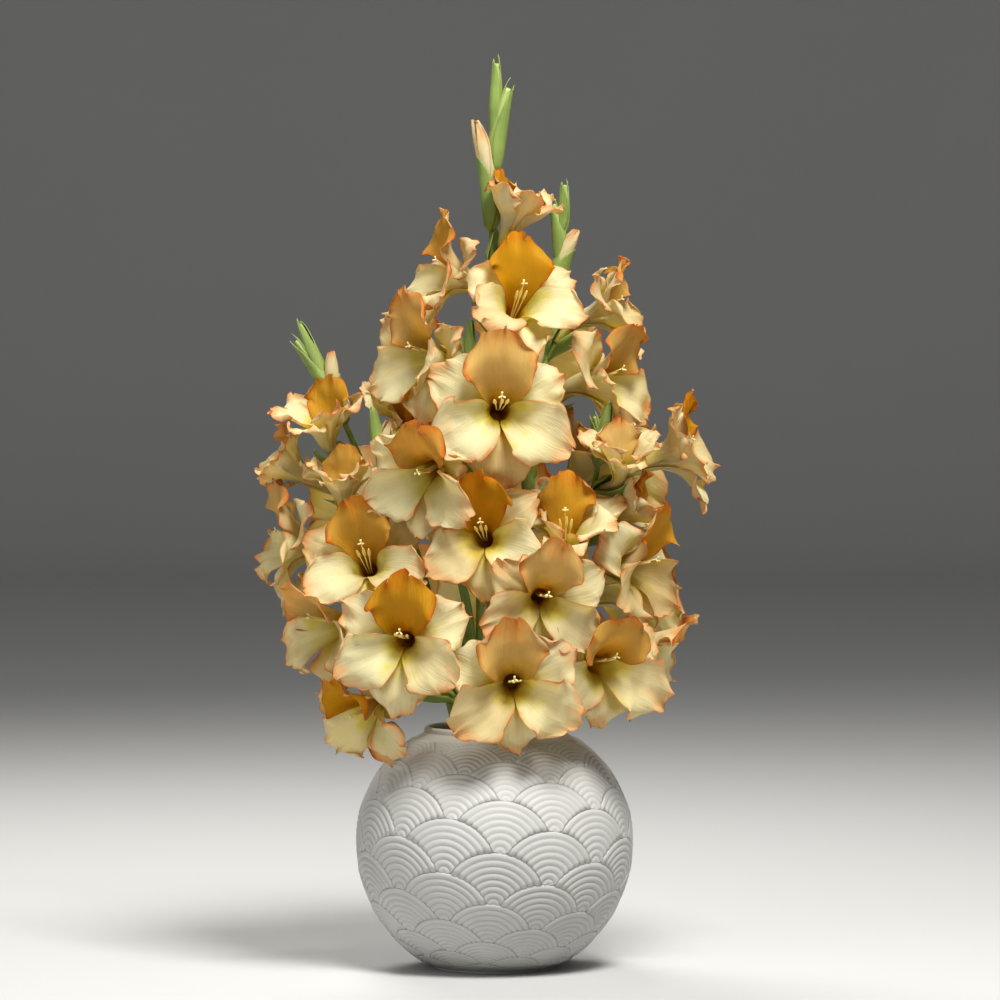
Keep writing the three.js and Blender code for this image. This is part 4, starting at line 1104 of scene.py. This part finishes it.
def add_petal(shape, sheet, sheets, solids, looks):
    """A petal from deep in the tube to its ruffled and crimped edge."""
    petal, bloom, k, manner = sheet.petal, sheet.bloom, sheet.k, sheet.manner
    rng = bloom.rng
    turn, inner = petal[:2]
    size = bloom.size
    # Columns and rows lie closer together towards the rim.
    crowd = lambda w: np.sin(w * math.pi / 2 * 0.8)
    w = crowd(np.linspace(-1, 1, PETAL_COLUMNS)) / crowd(1)
    v = 1 - (1 - np.linspace(0, 1, PETAL_ROWS)) ** 1.2
    room = sheet.room(sheets, solids, v, w)
    v, w = np.meshgrid(v, w, indexing="ij")

    # margin grows from the middle of the petal to its rim, and rim is the angle around the petal.
    margin = 1 - (1 - np.abs(w) ** 2.6) * (1 - v**5)
    rim = np.arctan2(w, (v - 0.4) * 1.6)
    fade = smooth((v - 0.12) / 0.45)
    free = smooth((v - 0.28) / 0.4)
    young = 1.25 - 0.25 * bloom.open
    phases = [rng.uniform(0, 2 * math.pi) for _ in range(6)]

    # Waves of uneven height along the rim, finer crimps at its edge, and pleats in the blade.
    swell = 0.75 + 0.35 * np.sin(2.1 * rim + phases[0])
    wave = rng.uniform(*RIM_WAVES) * rim + 1.3 * np.sin(1.7 * rim + phases[2]) + phases[1]
    height = looks.ruffle / MM * size * young * swell * free * margin**1.6
    crimp = looks.crimp / MM * size * young * free * margin**4
    crimp = crimp * np.sin(rng.uniform(*RIM_CRIMPS) * rim + 1.6 * np.sin(3.1 * rim + phases[4]) + phases[3])
    pleats = np.sin(11 * w + phases[5] + 1.5 * v + 0.8 * np.sin(5 * v))
    pleats = (0.35 + 0.9 * margin**2) * pleats * free * v
    midrib = -0.8 * np.exp(-((w / 0.1) ** 2)) * (1 - 0.6 * v) * smooth(v / 0.15)

    # The tip rolls back, the sides of outer petals less, then the very rim. One side may roll further.
    rolled = rng.uniform(2, 14 if inner else 18) * size * bloom.open * smooth((v - 0.6) / 0.4) ** 1.5
    rolled = rolled + (0 if inner else rng.uniform(0.5, 3)) * size * young * np.abs(w) ** 3 * fade
    rolled = rolled + 1.2 * size * free * smooth((margin - 0.8) / 0.2)
    twist = rng.uniform(-6, 6) * size * w * smooth((v - 0.5) / 0.5)
    side = rng.choice((-1, 1))
    rolled = rolled + rng.uniform(-5, 9) * size * smooth((side * w - 0.2) / 0.8) * fade
    lift = height * np.sin(wave) + crimp + pleats + midrib - rolled + twist

    # Where a neighbour is near, the petal keeps to its solid. Where none is, it spreads.
    limit = ROOM_TAKEN * room + 0.02
    lift = limit * np.tanh(lift / limit) + layer_lift(petal, bloom, v)
    ease = np.clip(room / ROOMY, 0, 1)

    # The ruffles also fold the rim over itself, and scallops cut into it.
    fold = 0.75 * height * np.cos(wave) * ease
    scallop = 0.022 * np.sin(9 * rim + phases[4]) + 0.014 * np.sin(17 * rim + phases[1])
    scallop = (scallop + 0.01 * np.sin(27 * rim + phases[3])) * margin**3 * free
    reach = petal_reach(v, w) * (0.96 + 0.06 * ease + scallop)
    reach = reach - np.sin(rim) * fold / (PETAL_LENGTH * size)
    reach = reach + 0.02 * np.exp(-((w / 0.3) ** 2)) * v**6 * ease
    sway = np.cos(rim) * fold / (PETAL_HALF_WIDTH * size * petal_width(v))
    across = w * (0.93 + 0.15 * ease + 1.4 * scallop + 0.1 * (1 - smooth(v / 0.3)))
    blade = bloom.placed(petal_surface(petal, bloom, k, manner, v, across + sway, reach, lift)[0])
    u, neck = petal_neck(petal, bloom, w[0], blade)

    along = np.concatenate([np.tile(u[:, None], (1, PETAL_COLUMNS)), reach])
    edge = np.concatenate([np.zeros((NECK_ROWS, PETAL_COLUMNS)), margin * smooth(v / 0.4)])
    # Painted shade: the uppermost petal of a bloom gets a strong share of deep ochre that stands in for its
    # shadow and the light coming through it. The other petals get a small random share of ochre as their own
    # tone.
    ochre_share_and_painted_shade = 0.65 + 0.35 * rng.random() if turn == 90 else 0.4 * rng.random() ** 2
    inside = point_values(along, w[0], edge, ochre_share_and_painted_shade)
    outside = point_values(0.3 + 0.7 * np.maximum(along, 0), w[0], 0.94 * edge, 0.4 * ochre_share_and_painted_shade)
    thickness = PETAL_THICKNESS - RIM_THINNING * edge
    add_blade(shape, np.concatenate([neck, blade]), thickness, inside, outside)


def tube_radius(size, place):
    """Radius of the solid's tube and funnel, along the neck."""
    widened = np.where(
        place < THROAT,
        TUBE_RADIUS + (THROAT_RADIUS - TUBE_RADIUS) * place / THROAT,
        THROAT_RADIUS + (FUNNEL_RADIUS - THROAT_RADIUS) * (place - THROAT) / (1 - THROAT),
    )
    return size * widened


def add_tube(shape, bloom):
    """The slender tube below the petals, faintly ribbed where they have grown together."""
    narrow = 2.5 * bloom.size
    wide = 5.8 * bloom.size
    last = THROAT + 0.03
    radius = lambda place, angles: (
        (narrow + (wide - narrow) * smooth(place / last) ** 1.3) * (1 + 0.045 * np.cos(6 * angles))
    )
    places = np.linspace(bloom.start, last, 16)
    # The last ring, which is seen from inside, has the colour of the throat.
    colour = lambda place, angle: (0.14 + 0.16 * place if place < last else -0.4, angle / 3, 0, 0.03)
    add_round(shape, bloom.neck, places, bloom.right, 18, radius, colour)


def widening(foot, top):
    """A radius that opens quickly from foot to top."""
    return lambda t: foot + (top - foot) * smooth(t / 0.5) ** 0.8


def add_bracts(shape, bloom):
    """Two green bracts around the foot of a bloom, and the ovary between them."""
    neck, start, size, hold = bloom.neck, bloom.start, bloom.size, bloom.hold
    tint = 0.25 * bloom.rng.random()
    # Young blooms show less of their tube.
    longest = 0.95 if bloom.open < 0.65 else 0.76
    end = min(longest, start + BRACT_LENGTH / neck.length)
    outer = widening(0.5 * hold, tube_radius(size, end) + 2.6)
    add_sheath(shape, neck, bloom.below(), 0.02, end, outer, 1.35, tint, keel=0.7, flare=1.5)
    short = start + 0.72 * (end - start)
    inner = widening(0.45 * hold, tube_radius(size, short) + 1.6)
    add_sheath(shape, neck, -bloom.below(), 0.02, short, inner, 1.3, tint + 0.1, keel=0.4, flare=1.0)
    along = lambda place: 0.2 + 0.7 * (place - 0.02) / (start + 0.06)
    ovary = lambda place, angles: 3.4 * size * math.sin(math.pi * along(place)) + 0.2
    places = np.linspace(0.02, start + 0.08, 8)
    add_round(shape, neck, places, bloom.right, 12, ovary, lambda place, angle: (place, angle / 3, 0, tint))


def add_stamens(shape, bloom):
    """Three stamens with long anthers, and the style with its three lobes, arched under the upper petal."""
    size, rng = bloom.size, bloom.rng
    lead = bloom.placed(np.array([[1.0, 0, 0]]))[0] - bloom.throat
    facing = bloom.frame[2]
    deep = -14

    def add(path, places, sides, radius, colour):
        add_round(shape, path, places, lead, sides, radius, colour, 1)

    for aside, long in ((-3, 28), (0, 31), (3, 28)):
        sway = rng.uniform(-1.2, 1.2)
        middle = 0.8 * aside, 1.2, 0.3 * long
        end = 1.5 * aside + sway, 8 * bloom.open, long
        path = bezier(*bloom.placed(np.array([(0.5 * aside, 0.5, deep), middle, end]) * [1, 1, size]))
        thread = lambda place, angles: 0.62 - 0.2 * place
        add(path, np.linspace(0, 0.86, 14), 6, thread, lambda place, angle: (place * 0.6, 0, 0, 0))
        back = path.at(0.74) + path.along(0.9) * 0.2
        anther_path = bezier(back, path.at(0.88) + facing * 0.9, path.at(1.0) + facing * 1.4)
        plump = lambda place: 1.25 * size * math.sin(math.pi * (0.08 + 0.86 * place)) ** 0.6
        anther = lambda place, angles: plump(place) * (1 + 0.28 * np.cos(2 * angles))
        add(anther_path, np.linspace(0, 1, 12), 10, anther, lambda place, angle: (0.9, angle, 0, 0))
    corners = np.array([(0, 2, deep), (0, 3, 14), (0, 11 * bloom.open, 37)]) * [1, 1, size]
    path = bezier(*bloom.placed(corners))
    style = lambda place, angles: 0.6 - 0.15 * place
    add(path, np.linspace(0, 1, 16), 6, style, lambda place, angle: (0.3, 0, 0, 0))
    for turn in (90, 210, 330):
        turn = math.radians(turn)
        out = np.array([math.cos(turn), math.sin(turn), 0])
        corners = np.array([np.zeros(3), out * 1.0 + UP * 2.0, out * 3.0 + UP * 3.0]) * size
        lobe_path = bezier(*(path.at(1.0) + corners @ bloom.frame))
        broad = lambda place: 0.75 * place * (1 - 0.4 * place)
        lobe = lambda place, angles: 0.35 + broad(place) * (1 + 0.4 * np.cos(2 * angles))
        add(lobe_path, np.linspace(0, 1, 7), 8, lobe, lambda place, angle: (0.4, 0, 0, 0))


# ---- Settings ----


def shade(name, description, r, g, b):
    """A colour property, given as the eye reads it (0 to 255) and kept as linear light."""
    linear = [((c / 255 + 0.055) / 1.055) ** 2.4 if c > 10 else c / 3295 for c in (r, g, b)]
    return bpy.props.FloatVectorProperty(
        name=name, description=description, subtype="COLOR", size=3, min=0, max=1, default=linear
    )


def measure(name, description, millimetres):
    """A size property."""
    return bpy.props.FloatProperty(
        name=name, description=description, default=millimetres * MM, subtype="DISTANCE", unit="LENGTH"
    )


class GladiolusLooks(bpy.types.PropertyGroup):
    """Sizes and colours of the bouquet."""

    ruffle: measure("Ruffle", "Height of the waves along a petal's edge", 6)
    crimp: measure("Crimp", "Height of the fine folds at a petal's edge", 1.5)
    ridge: measure("Ridge", "Height of the ridges on the vase", 0.95)
    throat_deep: shade("Tube", "Petal colour down in the tube", 228, 192, 32)
    throat: shade("Throat", "Petal colour in the throat", 238, 216, 76)
    heart: shade("Heart", "Petal colour just above the throat", 240, 237, 146)
    cream: shade("Cream", "Petal colour in its middle", 247, 245, 210)
    apricot: shade("Apricot", "Petal colour towards its edge", 251, 218, 164)
    edge: shade("Edge", "Petal colour along its edge", 240, 164, 98)
    frill: shade("Frill", "Thin line at the very edge of a petal", 204, 110, 50)
    # Painted shade: the deep ochre laid over the uppermost petals in place of their shadow and through-light;
    # other petals get a little of it as their own tone.
    ochre_and_painted_shade: shade("Ochre", "Tone of the upper petals", 224, 174, 26)
    vein: shade("Vein", "Tone of a petal's veins", 243, 237, 190)
    glow: shade("Glow", "Tone of light that passes through a petal", 248, 230, 122)
    leaf_dark: shade("Leaf shade", "Darker green of leaves and bracts", 104, 132, 56)
    leaf: shade("Leaf", "Green of leaves and bracts", 138, 164, 80)
    leaf_light: shade("Leaf rib", "Paler green between the ribs", 164, 184, 104)
    bud: shade("Bud", "Green of buds", 180, 194, 122)
    rim: shade("Leaf rim", "Thin edge of leaves and bracts", 190, 196, 130)
    filament: shade("Filament", "Threads of the stamens", 244, 230, 168)
    anther: shade("Anther", "Anthers with their pollen", 236, 212, 132)
    bisque: shade("Bisque", "Unglazed white of the vase", 198, 197, 194)
    bisque_shade: shade("Bisque shade", "Clouding of the white", 190, 189, 186)
    # Painted shade: the darker tone laid into the grooves of the vase.
    bisque_groove_shade: shade("Bisque groove", "Tone in the grooves of the vase", 164, 162, 156)
    floor: shade("Floor", "Floor and backdrop", 202, 202, 200)


# ---- Operators ----


class GLADIOLUS_OT_vase(bpy.types.Operator):
    """Turn the globe of the vase with its foot and lip"""

    bl_idname = "gladiolus.vase"
    bl_label = "Vase"

    def execute(self, context):
        looks = context.scene.gladiolus
        vase = turned("vase_body", vase_outline(), TURN_SIDES)
        vase.data.materials.append(finish_of("bisque", looks))
        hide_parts("vase")
        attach(vase, "root")
        return {"FINISHED"}


class GLADIOLUS_OT_relief(bpy.types.Operator):
    """Lay the overlapping wave fans around the vase"""

    bl_idname = "gladiolus.relief"
    bl_label = "Wave relief"

    def execute(self, context):
        looks = context.scene.gladiolus
        shape = Shape()
        WaveRelief(looks.ridge / MM).cover(shape)
        shape.piece("vase_relief", [finish_of("bisque", looks)], "vase", "vase")
        return {"FINISHED"}


class GLADIOLUS_OT_water(bpy.types.Operator):
    """Fill the vase with water"""

    bl_idname = "gladiolus.water"
    bl_label = "Water"

    def execute(self, context):
        water = turned("water_body", water_outline(), WATER_SIDES)
        water.data.materials.append(finish_of("clear_water", context.scene.gladiolus))
        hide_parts("water")
        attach(water, "root")
        return {"FINISHED"}


class GLADIOLUS_OT_spikes(bpy.types.Operator):
    """Grow the stems with their leaves, buds and bracts"""

    bl_idname = "gladiolus.spikes"
    bl_label = "Spikes"

    def execute(self, context):
        looks = context.scene.gladiolus
        blooms = all_blooms()
        for order, (name, spike) in enumerate(SPIKES.items()):
            rng = random.Random(100 + order)
            shape, furled = Shape(), Shape()
            stem = spline(spike["line"])
            places = np.linspace(stem.share_at_height(FLOOR + GAP), 1, 64)
            radius = lambda place, angles: stem_radius(place) * (1 + 0.02 * np.cos(5 * angles + 9 * place))
            colour = lambda place, angle: (6 * place, angle / 3, 0, 0.12)
            add_round(shape, stem, places, [1.0, 0, 0], 14, radius, colour)
            for height, tip, width in spike["leaves"]:
                add_leaf(shape, stem, height, tip, width, 0.1 * rng.random())
            for height, tip, size, shows in spike["buds"]:
                path, outward = add_bud(shape, stem, height, tip, size, 0.3 + 0.3 * rng.random(), shows)
                if shows:
                    add_furled(furled, path, outward, size, rng)
            for bloom in blooms:
                if bloom.spike == name:
                    add_bracts(shape, bloom)
            shape.piece(f"spike_{name}", [finish_of("ribbed_green", looks)], "green", f"stem_{name}")
            if furled.count:
                furled.piece(f"furled_{name}", [finish_of("ruffled_petal", looks)], "petal")
        return {"FINISHED"}


class GLADIOLUS_OT_blooms(bpy.types.Operator):
    """Open the blooms: tubes, ruffled petals and stamens"""

    bl_idname = "gladiolus.blooms"
    bl_label = "Blooms"

    def execute(self, context):
        looks = context.scene.gladiolus
        blooms = all_blooms()
        sheets = []
        for bloom in blooms:
            tree = solid_tree(f"bloom_{bloom.name}")
            for k, petal in enumerate(PETALS):
                manner = petal_manner(petal, bloom, k, tree)
                if manner:
                    sheets.append(Sheet(petal, bloom, k, manner))
        solids = surroundings()
        for bloom in blooms:
            name = bloom.name
            shape = Shape()
            add_tube(shape, bloom)
            for sheet in sheets:
                if sheet.bloom is bloom:
                    add_petal(shape, sheet, sheets, solids, looks)
            if bloom.open >= STAMENS_SHOW:
                add_stamens(shape, bloom)
            finishes = [finish_of("ruffled_petal", looks), finish_of("stamen", looks)]
            shape.piece(f"flower_{name}", finishes, "petal", f"bloom_{name}")
        return {"FINISHED"}


def aimed(place, aim):
    """The turn of a light or camera that stands at place and looks at aim."""
    return (Vector(aim) - Vector(place)).to_track_quat("-Z", "Y").to_euler()


def add_light(name, place, aim, size, power, colour):
    data = bpy.data.lights.new(name, "AREA")
    data.shape = "RECTANGLE"
    data.size, data.size_y = size
    data.energy = power
    data.color = colour
    light = bpy.data.objects.new(name, data)
    light.location = place
    light.rotation_euler = aimed(place, aim)
    bpy.context.scene.collection.objects.link(light)


class GLADIOLUS_OT_stage(bpy.types.Operator):
    """Set the floor, the soft lights and the camera"""

    bl_idname = "gladiolus.stage"
    bl_label = "Stage"

    def execute(self, context):
        scene = context.scene
        bpy.ops.object.select_all(action="DESELECT")
        bpy.ops.mesh.primitive_plane_add(size=2 * FLOOR_REACH, location=(0, 0, 0))
        floor = context.object
        floor.name = "floor"
        bpy.ops.object.mode_set(mode="EDIT")
        bpy.ops.mesh.select_all(action="DESELECT")
        bpy.ops.object.mode_set(mode="OBJECT")
        for edge in floor.data.edges:
            edge.select = all(floor.data.vertices[i].co.y > 0 for i in edge.vertices)
        bpy.ops.object.mode_set(mode="EDIT")
        bpy.ops.mesh.select_mode(type="EDGE")
        for i in range(COVE_STEPS):
            a, b = (math.pi / 2 * k / COVE_STEPS for k in (i, i + 1))
            step = (0, COVE * (math.sin(b) - math.sin(a)), COVE * (math.cos(a) - math.cos(b)))
            bpy.ops.mesh.extrude_edges_move(TRANSFORM_OT_translate={"value": step, "orient_type": "GLOBAL"})
        bpy.ops.mesh.extrude_edges_move(
            TRANSFORM_OT_translate={"value": (0, 0, FLOOR_REACH), "orient_type": "GLOBAL"}
        )
        bpy.ops.object.mode_set(mode="OBJECT")
        bpy.ops.object.shade_smooth()
        floor.data.materials.append(finish_of("floor", scene.gladiolus))

        add_light("key", (0.45, -1.15, 2.2), (0, 0, 0.4), (0.8, 0.8), 64, (1.0, 0.99, 0.97))
        add_light("fill", (-1.6, -2.0, 0.9), (0, 0, 0.4), (1.6, 1.6), 10, (0.98, 0.99, 1.0))
        add_light("back", (-0.5, 1.3, 1.8), (0, 0, 0.45), (1.0, 0.8), 24, (1.0, 0.98, 0.95))
        world = bpy.data.worlds.new("studio")
        world.use_nodes = True
        sky = world.node_tree.nodes["Background"].inputs
        sky["Color"].default_value = (1.0, 1.0, 1.0, 1)
        sky["Strength"].default_value = 0.15
        scene.world = world

        data = bpy.data.cameras.new("camera")
        data.lens = LENS
        data.clip_end = 30
        camera = bpy.data.objects.new("camera", data)
        camera.location = CAMERA_PLACE
        camera.rotation_euler = aimed(CAMERA_PLACE, CAMERA_AIM)
        scene.collection.objects.link(camera)
        scene.camera = camera
        scene.view_settings.view_transform = "Standard"
        scene.view_settings.look = "Medium High Contrast"
        return {"FINISHED"}


class GLADIOLUS_PT_panel(bpy.types.Panel):
    """Builds the bouquet piece by piece"""

    bl_idname = "GLADIOLUS_PT_panel"
    bl_label = "Gladiolus bouquet"
    bl_space_type = "VIEW_3D"
    bl_region_type = "UI"
    bl_category = "Gladiolus"

    def draw(self, context):
        for operator in OPERATORS:
            self.layout.operator(operator.bl_idname)
        for label in GladiolusLooks.__annotations__:
            self.layout.prop(context.scene.gladiolus, label)


OPERATORS = [
    GLADIOLUS_OT_vase,
    GLADIOLUS_OT_relief,
    GLADIOLUS_OT_water,
    GLADIOLUS_OT_spikes,
    GLADIOLUS_OT_blooms,
    GLADIOLUS_OT_stage,
]
CLASSES = [GladiolusLooks, *OPERATORS, GLADIOLUS_PT_panel]


def register():
    for made in CLASSES:
        bpy.utils.register_class(made)
    bpy.types.Scene.gladiolus = bpy.props.PointerProperty(type=GladiolusLooks)


def unregister():
    del bpy.types.Scene.gladiolus
    for made in reversed(CLASSES):
        bpy.utils.unregister_class(made)


def main():
    register()
    bpy.ops.gladiolus.vase()
    bpy.ops.gladiolus.relief()
    bpy.ops.gladiolus.water()
    bpy.ops.gladiolus.spikes()
    bpy.ops.gladiolus.blooms()
    bpy.ops.gladiolus.stage()


if __name__ == "__main__":
    main()
